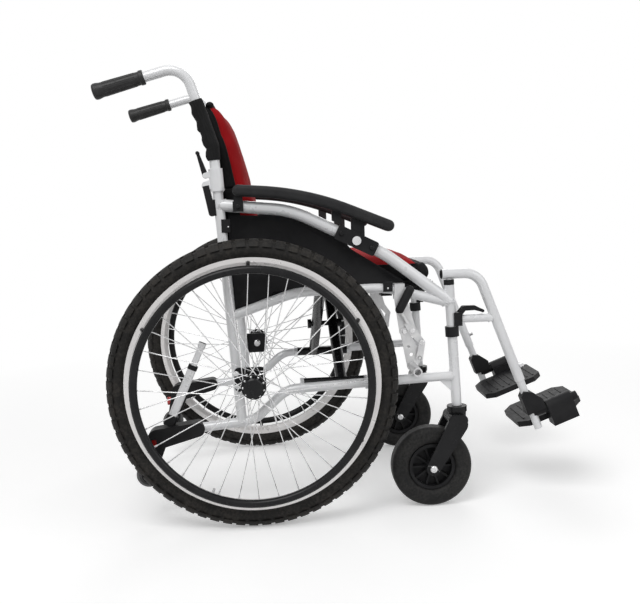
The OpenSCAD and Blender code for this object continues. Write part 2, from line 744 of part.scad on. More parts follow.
// Rear wheel
module tyre() color("dimgray") on_wheel() {
    pitch = 360 / tread_count;
    block = PI * tyre_d / tread_count - tread_gap;
    bead_w = rim_w - 2 * rim_wall - 2 * face_gap;
    rotate_extrude($fn = 96) {
        difference() {
            translate([tyre_mid, 0]) circle(d = tyre_w - 2 * tread_depth);
            square([2 * (rim_r + face_gap), tyre_w + 2], center = true);
        }
        translate([rim_r - rim_seat + face_gap, -bead_w / 2]) square([rim_seat + 2, bead_w]);
    }
    intersection() {
        rotate_extrude($fn = 96) translate([tyre_mid, 0]) circle(d = tyre_w);
        for (k = [0 : tread_count - 1], s = [0, 1]) rotate([0, 0, pitch * (k + s / 2)])
            translate([shoulder_r, -block / 2, s > 0 ? tread_split / 2 : -tread_split / 2 - tyre_w / 2])
                cube([tyre_w / 2, block, tyre_w / 2]);
    }
}
module rim() color("silver") on_wheel() {
    inner = rim_r - rim_depth;
    lip = rim_w / 2;
    bed = rim_r - rim_seat;
    rotate_extrude($fn = 96) polygon([
        [inner, -8], [inner, 8], [bed - 2, lip], [rim_r, lip], [rim_r, lip - rim_wall], [bed, lip - rim_wall],
        [bed, -lip + rim_wall], [rim_r, -lip + rim_wall], [rim_r, -lip], [bed - 2, -lip]]);
    rotate([0, 0, valve_at]) translate([inner - valve_l, 0, 0]) rotate([0, 90, 0])
        cylinder(h = valve_l + 2, d = valve_d);
}
module spoked_hub() color("gray") on_wheel() {
    bore = axle_d / 2 + run_gap;
    hole_r = hub_flange_d / 2 - 4;
    reach = rim_r - rim_depth - face_gap / 2;
    cap_z = hub_len / 2 - hub_cap_l;
    rotate_extrude() polygon([
        [bore, -hub_len / 2], [hub_d / 2, -hub_len / 2], [hub_d / 2, -flange_z - flange_t / 2],
        [hub_flange_d / 2, -flange_z - flange_t / 2], [hub_flange_d / 2, -flange_z + flange_t / 2],
        [hub_d / 2 - 3, -flange_z + flange_t / 2], [hub_d / 2 - 3, flange_z - flange_t / 2],
        [hub_flange_d / 2, flange_z - flange_t / 2], [hub_flange_d / 2, flange_z + flange_t / 2],
        [hub_d / 2, flange_z + flange_t / 2], [hub_d / 2, cap_z], [hub_cap_d / 2, cap_z],
        [hub_cap_d / 2, hub_len / 2 - 2], [hub_cap_d / 2 - 3, hub_len / 2], [0, hub_len / 2],
        [0, hub_len / 2 - 7], [bore, hub_len / 2 - 7]]);
    for (k = [0 : spoke_count - 1]) {
        flange = k % 2 == 0 ? 1 : -1;
        lean = floor(k / 2) % 2 == 0 ? 1 : -1;
        at = 360 * k / spoke_count;
        from = at + lean * spoke_lean;
        rod([hole_r * cos(from), hole_r * sin(from), flange * flange_z + lean * spoke_step],
            [reach * cos(at), reach * sin(at), flange * 3], spoke_d);
    }
}
module handrim() color("black") on_wheel() {
    rotate_extrude($fn = 96) translate([handrim_d / 2, handrim_out]) circle(d = handrim_tube_d);
    for (k = [0 : handrim_tabs - 1]) rotate([0, 0, 360 / handrim_tabs * (k + 0.5)])
        rod([rim_r - rim_seat - 3, 0, rim_w / 2 + face_gap / 2], [handrim_d / 2, 0, handrim_out], tab_d);
}

// Castor
module castor_fork() color("dimgray") {
    translate([stem_x, frame_y, crown_top - collar_l]) cylinder(h = collar_l, d = crown_d);
    translate([stem_x, frame_y, crown_mid]) cylinder(h = crown_top - crown_mid - 1, d = crown_d - 4);
    translate([stem_x, frame_y, crown_top - 1]) cylinder(h = 58, d = stem_d);
    side_plate(frame_y - fork_half + 1, 2 * fork_half - 2)
        link([stem_x - 12, crown_mid], 13.5, [stem_x + 5, crown_mid], 12.5);
    for (y = [-fork_half, fork_in]) side_plate(frame_y + y, fork_arm_t)
        link(shoulder, 22, [castor_x, castor_r], 15.5);
    cross_pin([castor_x, castor_r], frame_y - fork_half - 3, 2 * fork_half + 6, castor_axle_d);
    for (y = [-fork_half - 5, fork_half]) cross_pin([castor_x, castor_r], frame_y + y, 5, castor_axle_d + 3);
}
module castor_tyre() color("dimgray") on_castor() rotate_extrude($fn = 96)
    translate([(castor_hub_d / 2 + castor_r) / 2, 0]) rounded(castor_r - castor_hub_d / 2, castor_w, 12);
module castor_hub() color("gray") on_castor() difference() {
    ring = castor_hub_d / 2 - face_gap / 4;
    union() {
        rotate_extrude() translate([ring - 7, -castor_w / 2 + 5]) square([7, castor_w - 10]);
        cylinder(h = 6, r = ring - 3, center = true);
        cylinder(h = castor_w + 2, d = castor_axle_d + 20, center = true);
        for (k = [0 : castor_webs - 1]) rotate([0, 0, 360 * k / castor_webs])
            translate([castor_axle_d, -2, -castor_w / 2 + 10]) cube([ring - castor_axle_d - 3, 4, castor_w - 20]);
    }
    cylinder(h = castor_w + 10, d = castor_axle_d + 2 * run_gap, center = true);
}

// Footrest
module hanger() color("gainsboro") {
    leg_x = x_at(hanger_corner, foot_end, strut_z);
    difference() {
        union() {
            tube([[hanger_rear, hanger_z], hanger_corner, hanger_end], hanger_r, tube_d);
            rod([catch_pivot[0] - 10, frame_y, strut_z], [leg_x, frame_y, strut_z], strut_d);
        }
        on_foot() translate([0, frame_y, -1]) cylinder(h = outer_end + inner_in + 6, d = inner_d + face_gap);
    }
    on_front_upright() translate([0, 0, -swing_pin_l])
        cylinder(h = swing_pin_l + hanger_z - front_top[1], d = swing_pin_d);
    on_foot() translate([inner_d / 2 + 1, frame_y, leg_bolt_up]) rotate([0, 90, 0])
        cylinder(h = 9, d = leg_bolt_d);
    hanger_saddle();
}
// Moulded saddle that closes on the front upright, with ears for the release lever
module hanger_saddle() {
    front = catch_pivot[0] - 6;
    difference() {
        translate([front_top[0] - 2, frame_y - 14, saddle_z[0]])
            cube([front - front_top[0] + 2, 28, saddle_z[1] - saddle_z[0]]);
        on_front_upright() translate([0, 0, -swing_pin_l - 60])
            cylinder(h = swing_pin_l + 50, d = tube_d + 2 * face_gap);
        translate([front_top[0] - 20, frame_y - 20, saddle_z[0] - 1])
            cube([27, 40, saddle_z[1] - saddle_z[0] + 2]);
    }
    for (y = [catch_w / 2 + face_gap, -catch_w / 2 - face_gap - 3]) side_plate(frame_y + y, 3)
        link(catch_pivot, 5, [catch_pivot[0] - 10, saddle_z[1] - 4], 5);
    cross_pin(catch_pivot, frame_y - catch_w / 2 - 3, catch_w + 6, release_pin_d);
}
module hanger_latch() color("dimgray") difference() {
    union() {
        side_plate(frame_y - catch_w / 2, catch_w) {
            link(catch_pivot, 5.5, catch_bend, 5);
            link(catch_bend, 5, catch_tip, 3);
        }
        cross_pin(catch_tip, frame_y - catch_w / 2 - 2, catch_w + 4, 7);
    }
    cross_pin(catch_pivot, frame_y - catch_w, 2 * catch_w, release_pin_d + 2 * run_gap);
}
module footrest_tube() color("silver") on_foot() {
    translate([0, frame_y, 0]) cylinder(h = outer_end + inner_in, d = inner_d);
    side_plate(frame_y - foot_clamp_w / 2, foot_clamp_w) polygon(foot_clamp);
    rod([0, frame_y, stub_up], [stub_front, frame_y, stub_up], stub_d);
}
module footplate() color("dimgray") on_foot() difference() {
    union() {
        translate([0, 0, plate_low]) linear_extrude(plate_t) plate_outline();
        translate([house_rear, 0, 0]) rotate([90, 0, 90]) linear_extrude(house_front - house_rear) {
            translate([frame_y, stub_up]) circle(d = stub_d + 2 * house_wall);
            translate([plate_out - 6, house_low])
                square([frame_y + stub_d / 2 + house_wall - plate_out + 6, stub_up - house_low]);
        }
        for (k = [0 : plate_ribs - 1])
            translate([plate_rear + plate_edge + k * (plate_l - 2 * plate_edge) / (plate_ribs - 1) - rib_w / 2,
                       plate_out - plate_w + plate_edge, plate_low + plate_t - 1])
                cube([rib_w, plate_w - 2 * plate_edge - 6, rib_proud + 1]);
    }
    rod([-60, frame_y, stub_up], [stub_front + 20, frame_y, stub_up], stub_d + 2 * run_gap);
}
// Footplate outline with cut corners
module plate_outline() {
    inner = plate_out - plate_w;
    polygon([
        [plate_rear + plate_cut, inner], [plate_front - plate_cut, inner], [plate_front, inner + plate_cut],
        [plate_front, plate_out - plate_cut], [plate_front - plate_cut, plate_out],
        [plate_rear + plate_cut, plate_out], [plate_rear, plate_out - plate_cut], [plate_rear, inner + plate_cut]]);
}

// Folding back
module back_cane() color("gainsboro") difference() {
    foot = upright_top + cane_dir * face_gap;
    union() {
        tube([foot, cane_bend, cane_corner, grip_end + grip_dir * 5], handle_r, tube_d);
        tube([foot, foot + cane_dir * casting_h], 0, casting_d);
        side_plate(frame_y - casting_lug_w / 2, casting_lug_w)
            link(back_pivot, back_pin_d / 2 + 4.5, upright_top + cane_dir * 16, 12);
        for (y = [release_w / 2 + face_gap, -release_w / 2 - face_gap - 3]) side_plate(frame_y + y, 3)
            link(release_pivot, 5.5, upright_top + cane_dir * 38, 8);
        cross_pin(release_pivot, frame_y - release_w / 2 - 3, release_w + 6, release_pin_d);
    }
    cross_pin(back_pivot, frame_y - casting_lug_w, 2 * casting_lug_w, back_pin_d + 2 * run_gap);
}
module push_grip() color("dimgray") on_grip() {
    wall = 4;
    rear = grip_rear_d / 2;
    front = grip_front_d / 2;
    bore = tube_d / 2 + face_gap / 4;
    rotate_extrude() polygon([
        [0, 0], [rear - 5, 0], [rear - 1.5, 1.5], [rear, 5], [rear, 10], [rear - 1.5, 18], [front + 1, 40],
        [front, grip_len - 10], [front + 1.6, grip_len - 8], [front + 1.6, grip_len - 1.5],
        [front + 0.4, grip_len], [bore, grip_len], [bore, wall], [0, wall]]);
}
module back_release() color("dimgray") difference() {
    union() {
        side_plate(frame_y - release_w / 2, release_w) link(release_pivot, 6, release_tip, 3);
        cross_pin(release_tip, frame_y - release_w / 2 - 2, release_w + 4, 8);
    }
    cross_pin(release_pivot, frame_y - release_w, 2 * release_w, release_pin_d + 2 * run_gap);
}

// Armrest
function pad_z(x) = z_at(pad_corner, pad_front, x);
function top_z(x) = z_at(arm_a, arm_b, x) + clamp_h / 2 / cos(arm_slope) + face_gap;
module armrest() color("dimgray") difference() {
    slot = 11;
    rear_dir = unit(pad_rear - pad_corner);
    front_dir = unit(pad_front - pad_corner);
    union() {
        side_view(pad_y)
            sweep([pad_rear + rear_dir * bend_lap, pad_corner, pad_front + front_dir * bend_lap], pad_bend_r) {
                rounded(pad_t, pad_w, pad_edge);
                rounded(pad_t - 2 * bend_step, pad_w - 2 * bend_step, pad_edge);
            }
        for (e = [[pad_rear, rear_dir], [pad_front, front_dir]]) side_view(pad_y)
            translate(e[0]) rotate(heading(e[1]) - 90) rotate_extrude(angle = 180) intersection() {
                rounded(pad_t, pad_w, pad_edge);
                translate([0, -pad_w]) square([pad_t, 2 * pad_w]);
            }
        for (x = posts) side_plate(frame_y - post_w / 2, post_w) polygon([
            [x[0], pad_z(x[0])], [x[1], pad_z(x[1])], [x[1], top_z(x[1])], [x[0], top_z(x[0])]]);
    }
    translate([pad_rear[0] - pad_t, arm_lug_y - face_gap, arm_pivot[1] - 20])
        cube([pad_t + slot, arm_lug_t + 2 * face_gap, 20 + slot]);
    cross_pin(arm_pivot, arm_lug_y - arm_pin_side - face_gap, arm_lug_t + 2 * arm_pin_side + 2 * face_gap,
              arm_pin_d + 2 * run_gap);
}
module arm_clamp() difference() {
    union() {
        side_plate(clamp_in, clamp_out - clamp_in)
            translate(clamp_at) rotate(arm_slope) rounded(clamp_l, clamp_h, 5);
        for (s = [-1, 1]) cross_pin(clamp_at + s * 36 * [cos(arm_slope), sin(arm_slope)], clamp_out, 2.5, 10);
    }
    tube([arm_a, arm_b], 0, arm_tube_d + face_gap / 2);
    cross_pin(clamp_at, clamp_out - button_proud - 2 * button_sink, 10, button_d + 2 * run_gap);
}
module arm_button() color("silver")
    cross_pin(clamp_at, clamp_out - button_sink, button_proud + button_sink, button_d);

// Brake: a lever, a link and an arm with the bar, all on one plate
module brake_plate() color("silver") {
    top = [brake_clip_x, seat_rail_z(brake_clip_x) - 10];
    side_plate(brake_y, brake_t) {
        link(top, 13, bar_pivot, 10);
        link(top, 13, lever_pivot, 10);
        link(bar_pivot, 10, lever_pivot, 10.1);
    }
    difference() {
        translate([brake_clip_x - brake_clip_l / 2, clip_in, seat_rail_z(brake_clip_x) - 18])
            cube([brake_clip_l, brake_y + brake_t - clip_in, brake_clip_h]);
        tube([seat_rail_rear, seat_rail_a, seat_rail_b, seat_rail_front], seat_rail_r, rail_d + face_gap / 2);
    }
    cross_pin(bar_pivot, brake_y, arm_step + brake_t + 1.5 - brake_y, brake_pin_d);
    cross_pin(lever_pivot, brake_y, lever_step + brake_t + 1.5 - brake_y, brake_pin_d);
}
module brake_bar() color("silver") {
    difference() {
        side_plate(arm_step, brake_t) difference() {
            union() {
                link(bar_pivot, 9, bar_at, bar_d / 2 + 1);
                link(bar_pivot, 9, link_foot, 7);
                link(bar_at, bar_d / 2 + 1, link_foot, 7);
                polygon([bar_pivot, bar_at, link_foot]);
            }
            translate(bar_pivot + [8, -33]) circle(3);
            translate(bar_pivot + [14, -51]) circle(4);
        }
        cross_pin(bar_pivot, arm_step - 1, brake_t + 2, brake_pin_d + 2 * run_gap);
    }
    difference() {
        cross_pin(bar_at, arm_step + 1, wheel_y + tyre_w / 2 - arm_step - 1, bar_d);
        cross_pin(bar_at, wheel_y, tyre_w, bar_bore);
    }
    cross_pin(link_foot, arm_step + 1, link_step_y + brake_t + 1 - arm_step, link_pin_d);
}
module brake_lever() color("dimgray") {
    difference() {
        side_plate(lever_step, brake_t) {
            link(lever_pivot, 9, lever_foot, 6.5);
            link(lever_pivot, 9, lever_rod_at, 6);
        }
        cross_pin(lever_pivot, lever_step - 1, brake_t + 2, brake_pin_d + 2 * run_gap);
    }
    rod([lever_rod_at[0], lever_step + brake_t / 2, lever_rod_at[1]],
        [brake_grip_low[0], brake_grip_y, brake_grip_low[1]], lever_rod_d);
    translate([brake_grip_low[0], brake_grip_y, brake_grip_low[1]])
        rotate([0, 90 - heading(brake_grip_high - brake_grip_low), 0])
            capsule(norm(brake_grip_high - brake_grip_low), brake_grip_d / 2);
    cross_pin(lever_foot, lever_step + 1, link_step_y + brake_t + 1 - lever_step, link_pin_d);
}
// The link's lower hole has slack round its pin
module brake_link() color("silver") difference() {
    union() {
        side_plate(link_step_y, brake_t) link(lever_foot, 6.5, link_foot, 7.5);
        cross_pin(lever_foot, link_step_y, brake_t + 0.6, 11);
    }
    cross_pin(lever_foot, link_step_y - 1, brake_t + 3, link_pin_d + 2 * run_gap);
    cross_pin(link_foot, link_step_y - 1, brake_t + 3, link_pin_d + 2 * link_slack);
}

// Cross-brace arm with its hinge tube and its seat tube, from the right lower rail to the left seat tube
module brace(x) color("dimgray") difference() {
    union() {
        rod([lug_rear_x + lug_w / 2 + face_gap, -brace_y, brace_z],
            [lug_front_x - lug_w / 2 - face_gap, -brace_y, brace_z], hinge_tube_d);
        rod([x, -brace_y, brace_z], [x, seat_tube_y, seat_tube_z], brace_d);
        rod([seat_tube_rear, seat_tube_y, seat_tube_z], [seat_tube_front, seat_tube_y, seat_tube_z], seat_tube_d);
    }
    rod([lug_rear_x, -brace_y, brace_z], [lug_front_x, -brace_y, brace_z], hinge_pin_d + 2 * run_gap);
}
module brace_a() color("dimgray") {
    rear = brace_b_x - brace_d / 2 - face_gap;
    brace(brace_a_x);
    rod([rear - 4, 0, pivot_z], [brace_a_x, 0, pivot_z], pivot_d);
    rod([rear - 9, 0, pivot_z], [rear, 0, pivot_z], pivot_d + 10);
    rod([brace_a_x, 0, pivot_z], [brace_a_x + brace_d / 2 + 8, 0, pivot_z], pivot_d + 8);
}
module brace_b() color("dimgray") difference() {
    mirror([0, 1, 0]) brace(brace_b_x);
    rod([brace_b_x - brace_d, 0, pivot_z], [brace_b_x + brace_d, 0, pivot_z], pivot_d + 2 * run_gap);
}

// Seat
module seat_sling() color("dimgray") {
    half = seat_tube_y + seat_tube_d / 2;
    low = seat_tube_z + seat_tube_d / 2 + face_gap;
    translate([seat_tube_rear + 4, -half, low]) cube([seat_tube_front - seat_tube_rear - 8, 2 * half, sling_t]);
}
module seat_cushion() color("firebrick") {
    low = seat_tube_z + seat_tube_d / 2 + 2 * face_gap + sling_t;
    length = cushion_front - cushion_rear;
    loft([for (t = stations(24)) let (
            f = full(t, 12),
            half = (cushion_half - cushion_draw * sin(180 * t)) * (0.9 + 0.1 * f),
            fall = cushion_roll * pow(max(0, t - 0.7) / 0.3, 2) / (cushion_edge + cushion_crown),
            x = cushion_rear + length * t)
        [for (q = pillow(half, cushion_edge / 2 + cushion_crown, cushion_edge / 2))
            [x, q[0], low + cushion_edge / 2 + q[1] * f * (q[1] > 0 ? 1 - fall : 1)]]]);
}

// Back upholstery
function cane_x(z) = z < upright_top[1] ? x_at(upright_foot, upright_top, z)
    : z < cane_bend[1] ? x_at(upright_top, cane_bend, z) : x_at(cane_bend, cane_corner, z);
function back_edge(z) = [cane_x(z) + back_x - sheet_t, z];
function front_edge(z) = [cane_x(z) + back_x, z];
module back_sheet(low, half) {
    side_plate(-half, 2 * half) polygon([
        back_edge(low), front_edge(low), front_edge(cane_bend[1]), front_edge(back_top),
        back_edge(back_top), back_edge(cane_bend[1])]);
}
module upper_back_sling() color("dimgray") difference() {
    sleeve_d = tube_d + 2 * face_gap;
    union() {
        back_sheet(back_split + 4, guard_y - face_gap);
        back_sheet(sleeve_low, frame_y);
        for (s = [-1, 1]) tube([[cane_x(sleeve_low), sleeve_low], cane_bend, [cane_x(back_top), back_top]],
                               handle_r, sleeve_d + 3, s * frame_y);
    }
    for (s = [-1, 1]) tube([[cane_x(sleeve_low - 10), sleeve_low - 10], cane_bend,
                            [cane_x(back_top + 10), back_top + 10]], handle_r, sleeve_d, s * frame_y);
}
// Thickness of the back pad at a height, and its fullness near a rounded end
function pad_depth(z) = back_pad_t + (lumbar_t - back_pad_t)
    * min(1, max(0, (cane_bend[1] - z) / (cane_bend[1] - lumbar_z)));
function round_end(d, r) = d >= r ? 1 : sqrt(max(0.02, 1 - pow(1 - d / r, 2)));
// Heights of a back pad's rings, with one at the corner of the canes
function heights(low, high) = let (bend = cane_bend[1])
    bend > low && bend < high ? concat([for (t = stations(8)) low + (bend - low) * t],
                                       [for (t = stations(10)) if (t > 0) bend + (high - bend) * t])
        : [for (t = stations(18)) low + (high - low) * t];
module back_pad(low, high, clear, low_r, high_r) {
    loft([for (z = heights(low, high)) let (
            f = round_end(z - low, low_r) * round_end(high - z, high_r),
            half = (back_half - back_draw * sin(180 * (z - low) / (high - low))) * (0.94 + 0.06 * f),
            depth = pad_depth(z) * f,
            rear = cane_x(z) + back_x + clear)
        [for (q = pillow(half, depth / 2, depth / 2)) [rear + depth / 2 + q[1], -q[0], z]]]);
}
module upper_back_pad() color("firebrick") back_pad(back_split + 1, back_top - 4, face_gap, 0, 26);
module lower_back_pad() color("firebrick") {
    back_pad(back_bottom, back_split - 1, -1, 30, 0);
    side_plate(face_gap - guard_y, 2 * (guard_y - face_gap)) polygon([
        back_edge(back_bottom + 12), front_edge(back_bottom + 12),
        front_edge(back_split - 8), back_edge(back_split - 8)]);
}

right() side_frame();  // right_side_frame
right() frame_fittings();  // right_frame_fittings
right() axle_carrier();  // right_axle_carrier
right() side_guard();  // right_side_guard
right() anti_tip_arm(with_pump = true);  // right_anti_tip_arm
right() anti_tip_wheel();  // right_anti_tip_wheel
right() brake_plate();  // right_brake_plate
right() brake_lever();  // right_brake_lever
right() brake_bar();  // right_brake_bar
right() tyre();  // right_tyre
right() rim();  // right_rim
right() spoked_hub();  // right_spoked_hub
right() handrim();  // right_handrim
right() castor_fork();  // right_castor_fork
right() castor_tyre();  // right_castor_tyre
right() castor_hub();  // right_castor_hub
right() hanger();  // right_hanger
right() hanger_latch();  // right_hanger_latch
right() footrest_tube();  // right_footrest_tube
right() footplate();  // right_footplate
right() back_cane();  // right_back_cane
right() push_grip();  // right_push_grip
right() back_release();  // right_back_release
right() armrest();  // right_armrest
right() brake_link();  // right_brake_link
right() arm_button();  // right_arm_button
left() side_frame();  // left_side_frame
left() frame_fittings();  // left_frame_fittings
left() axle_carrier();  // left_axle_carrier
left() side_guard();  // left_side_guard
left() anti_tip_arm();  // left_anti_tip_arm
left() anti_tip_wheel();  // left_anti_tip_wheel
left() brake_plate();  // left_brake_plate
left() brake_lever();  // left_brake_lever
left() brake_bar();  // left_brake_bar
left() tyre();  // left_tyre
left() rim();  // left_rim
left() spoked_hub();  // left_spoked_hub
left() handrim();  // left_handrim
left() castor_fork();  // left_castor_fork
left() castor_tyre();  // left_castor_tyre
left() castor_hub();  // left_castor_hub
left() hanger();  // left_hanger
left() hanger_latch();  // left_hanger_latch
left() footrest_tube();  // left_footrest_tube
left() footplate();  // left_footplate
left() back_cane();  // left_back_cane
left() push_grip();  // left_push_grip
left() back_release();  // left_back_release
left() armrest();  // left_armrest
left() brake_link();  // left_brake_link
left() arm_button();  // left_arm_button
left() brace_a();  // brace_arm_a
left() brace_b();  // brace_arm_b
left() seat_sling();
left() seat_cushion();
left() upper_back_sling();
left() upper_back_pad();
left() lower_back_pad();
right() hand_pump();
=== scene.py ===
"""Looks of the folding wheelchair: finishes on the CAD frame, the soft goods and the small hardware."""

import json
import math

import bmesh
import bpy
import numpy as np
from mathutils import Matrix, Vector
from mathutils import noise as field


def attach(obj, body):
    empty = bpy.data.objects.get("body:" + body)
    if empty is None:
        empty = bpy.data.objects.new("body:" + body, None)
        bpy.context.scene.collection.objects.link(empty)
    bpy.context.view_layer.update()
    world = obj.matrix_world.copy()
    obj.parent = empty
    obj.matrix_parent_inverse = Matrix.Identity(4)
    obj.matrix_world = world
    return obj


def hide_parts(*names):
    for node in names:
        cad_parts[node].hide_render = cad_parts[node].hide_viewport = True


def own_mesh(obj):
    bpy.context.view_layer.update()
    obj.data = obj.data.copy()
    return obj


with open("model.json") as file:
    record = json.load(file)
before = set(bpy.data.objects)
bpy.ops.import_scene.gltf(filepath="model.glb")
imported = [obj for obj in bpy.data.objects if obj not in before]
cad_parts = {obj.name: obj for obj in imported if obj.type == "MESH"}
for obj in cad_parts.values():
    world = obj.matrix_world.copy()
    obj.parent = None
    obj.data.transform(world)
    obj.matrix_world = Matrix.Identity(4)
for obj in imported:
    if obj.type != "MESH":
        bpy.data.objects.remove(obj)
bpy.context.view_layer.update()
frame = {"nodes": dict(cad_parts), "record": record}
NODES = frame["nodes"]
SIDES = (("right", -1), ("left", 1))
JOINTS = {j["name"]: Vector(j["pos_m"]) * 1000 for j in frame["record"]["behaviour"]["joints"] if "pos_m" in j}

# Sizes of the CAD frame that the added pieces follow, in millimetres, with x from the rear axle
MID_X = -JOINTS["left_wheel_roll"].x
WHEEL_Y = JOINTS["left_wheel_roll"].y
TYRE_R = JOINTS["left_wheel_roll"].z
CASTOR = (JOINTS["left_castor_roll"].x + MID_X, JOINTS["left_castor_roll"].z)
FRAME_Y = 231.0
RIM_R = 267.0
VALVE_AT = math.radians(-113)
SEAT_TUBE_Y, SEAT_TUBE_Z = 199.6, 486.0
FOOT_END, LEG_TILT = (628.0, 160.0), math.radians(20.5)
REFLECTOR_Z, REFLECTOR_R = 158.0, 12.0
PUMP_FOOT, PUMP_LEAN = (-184.0, 222.0), math.radians(25)
SPOKES, NIPPLE_R, FLANGE_R, FLANGE_Y, LACING = 36, 249.8, 22.0, 26.0, 58.0
CANE = ((-31.0, 208.0), (-59.0, 709.0), (-64.0, 802.0), (-117.0, 971.0))


def at(x, y, z):
    """Row frame point, in metres, from millimetres with x from the rear axle."""
    return Vector(((x - MID_X) / 1000, y / 1000, z / 1000))


def cane_x(z):
    """Middle of the upright and the cane above it, at a height."""
    for (xa, za), (xb, zb) in zip(CANE, CANE[1:]):
        if z <= zb:
            break
    return xa + (xb - xa) * (z - za) / (zb - za)


# Materials


def new_material(name):
    """Material with its node tree, its shader and the place on the object."""
    mat = bpy.data.materials.new(name)
    mat.use_nodes = True
    tree = mat.node_tree
    shader = tree.nodes["Principled BSDF"]
    place = tree.nodes.new("ShaderNodeTexCoord")
    return mat, tree, shader, place.outputs["Object"]


def noise(tree, place, scale, detail=3.0, rough=0.55):
    node = tree.nodes.new("ShaderNodeTexNoise")
    node.inputs["Scale"].default_value = scale
    node.inputs["Detail"].default_value = detail
    node.inputs["Roughness"].default_value = rough
    tree.links.new(place, node.inputs["Vector"])
    return node.outputs["Fac"]


def remap(tree, value, low, high, from_low=0.3, from_high=0.7):
    node = tree.nodes.new("ShaderNodeMapRange")
    node.inputs["From Min"].default_value = from_low
    node.inputs["From Max"].default_value = from_high
    node.inputs["To Min"].default_value = low
    node.inputs["To Max"].default_value = high
    tree.links.new(value, node.inputs["Value"])
    return node.outputs["Result"]


def mix_colour(tree, value, a, b):
    """Mix of two colours, of which the first may be another node's output."""
    node = tree.nodes.new("ShaderNodeMix")
    node.data_type = "RGBA"
    tree.links.new(value, node.inputs["Factor"])
    if isinstance(a, tuple):
        node.inputs["A"].default_value = (*a, 1)
    else:
        tree.links.new(a, node.inputs["A"])
    node.inputs["B"].default_value = (*b, 1)
    return node.outputs["Result"]


def bump(tree, shader, height, distance, strength=1.0):
    node = tree.nodes.new("ShaderNodeBump")
    node.inputs["Distance"].default_value = distance
    node.inputs["Strength"].default_value = strength
    tree.links.new(height, node.inputs["Height"])
    tree.links.new(node.outputs["Normal"], shader.inputs["Normal"])


def finish_of(name, a, b, rough, metallic=0.0, grain=None, coat=0.0, spread=18.0, specular=0.5):
    """Painted, moulded or metal finish: colour and roughness vary a little, and grain is (scale, depth)."""
    mat, tree, shader, place = new_material(name)
    shade = remap(tree, noise(tree, place, spread), 0.0, 1.0)
    tree.links.new(mix_colour(tree, shade, a, b), shader.inputs["Base Color"])
    gloss = remap(tree, noise(tree, place, spread * 3.1), rough[0], rough[1])
    tree.links.new(gloss, shader.inputs["Roughness"])
    shader.inputs["Metallic"].default_value = metallic
    shader.inputs["Coat Weight"].default_value = coat
    shader.inputs["Coat Roughness"].default_value = 0.12
    shader.inputs["Specular IOR Level"].default_value = specular
    if grain:
        bump(tree, shader, noise(tree, place, grain[0], 2.0), grain[1], 0.5)
    return mat


def wave(tree, place, scale, axis):
    node = tree.nodes.new("ShaderNodeTexWave")
    node.bands_direction = axis
    node.inputs["Scale"].default_value = scale
    node.inputs["Distortion"].default_value = 0.6
    node.inputs["Detail"].default_value = 1.0
    tree.links.new(place, node.inputs["Vector"])
    return node.outputs["Fac"]


def math_node(tree, kind, a, b):
    node = tree.nodes.new("ShaderNodeMath")
    node.operation = kind
    for value, socket in ((a, node.inputs[0]), (b, node.inputs[1])):
        if isinstance(value, float):
            socket.default_value = value
        else:
            tree.links.new(value, socket)
    return node.outputs[0]


def cloth_of(name, a, b, axes, pitch, depth, rough=0.85, sheen=0.06):
    """Woven cloth: two crossing sets of threads, at a pitch in metres, along two row axes."""
    mat, tree, shader, place = new_material(name)
    scale = 0.5 / pitch
    warp = wave(tree, place, scale, axes[0])
    weft = wave(tree, place, scale, axes[1])
    threads = math_node(tree, "MULTIPLY", warp, weft)
    blotch = noise(tree, place, 14.0)
    worn, woven = remap(tree, blotch, 0.35, 1.0), remap(tree, threads, 0.45, 1.0, 0.0, 0.6)
    shade = math_node(tree, "MULTIPLY", worn, woven)
    tree.links.new(mix_colour(tree, shade, b, a), shader.inputs["Base Color"])
    shader.inputs["Roughness"].default_value = rough
    shader.inputs["Sheen Weight"].default_value = sheen
    shader.inputs["Sheen Roughness"].default_value = 0.5
    shader.inputs["Specular IOR Level"].default_value = 0.1
    bump(tree, shader, threads, depth, 0.6)
    return mat


def rubber_of(name, a, b, dust, rough, grain):
    """Rubber with a film of dust in broad patches over its grain."""
    mat, tree, shader, place = new_material(name)
    patches = math_node(tree, "MULTIPLY", noise(tree, place, 26.0, 5.0), noise(tree, place, 190.0, 2.0))
    film = remap(tree, patches, 0.0, 1.0, 0.2, 0.4)
    base = mix_colour(tree, remap(tree, noise(tree, place, 60.0), 0.0, 1.0), a, b)
    tree.links.new(mix_colour(tree, film, base, dust), shader.inputs["Base Color"])
    tree.links.new(remap(tree, film, rough[0], rough[1], 0.0, 1.0), shader.inputs["Roughness"])
    shader.inputs["Specular IOR Level"].default_value = 0.15
    bump(tree, shader, noise(tree, place, grain[0], 2.0), grain[1], 0.6)
    return mat


SILVER = finish_of("silver_paint", (0.86, 0.865, 0.875), (0.8, 0.805, 0.82), (0.26, 0.34), 0.1,
                   (900.0, 0.00006), 0.35, 9.0)
ALLOY = finish_of("rim_alloy", (0.84, 0.82, 0.81), (0.79, 0.77, 0.765), (0.26, 0.34), 0.35,
                  (600.0, 0.00005), 0.2, 12.0)
STEEL = finish_of("bright_steel", (0.74, 0.74, 0.74), (0.6, 0.6, 0.61), (0.2, 0.34), 0.9,
                  (800.0, 0.00004), 0.0, 40.0)
ZINC = finish_of("zinc_plate", (0.72, 0.72, 0.72), (0.60, 0.60, 0.61), (0.32, 0.46), 0.5,
                 (700.0, 0.00006), 0.0, 55.0)
MOULDED = finish_of("black_moulding", (0.012, 0.012, 0.013), (0.020, 0.020, 0.021), (0.4, 0.56), 0.0,
                    (1400.0, 0.00012), 0.0, 30.0, 0.13)
COATED = finish_of("black_coat", (0.008, 0.008, 0.009), (0.015, 0.015, 0.016), (0.2, 0.3), 0.0,
                   (500.0, 0.00003), 0.06, 25.0, 0.16)
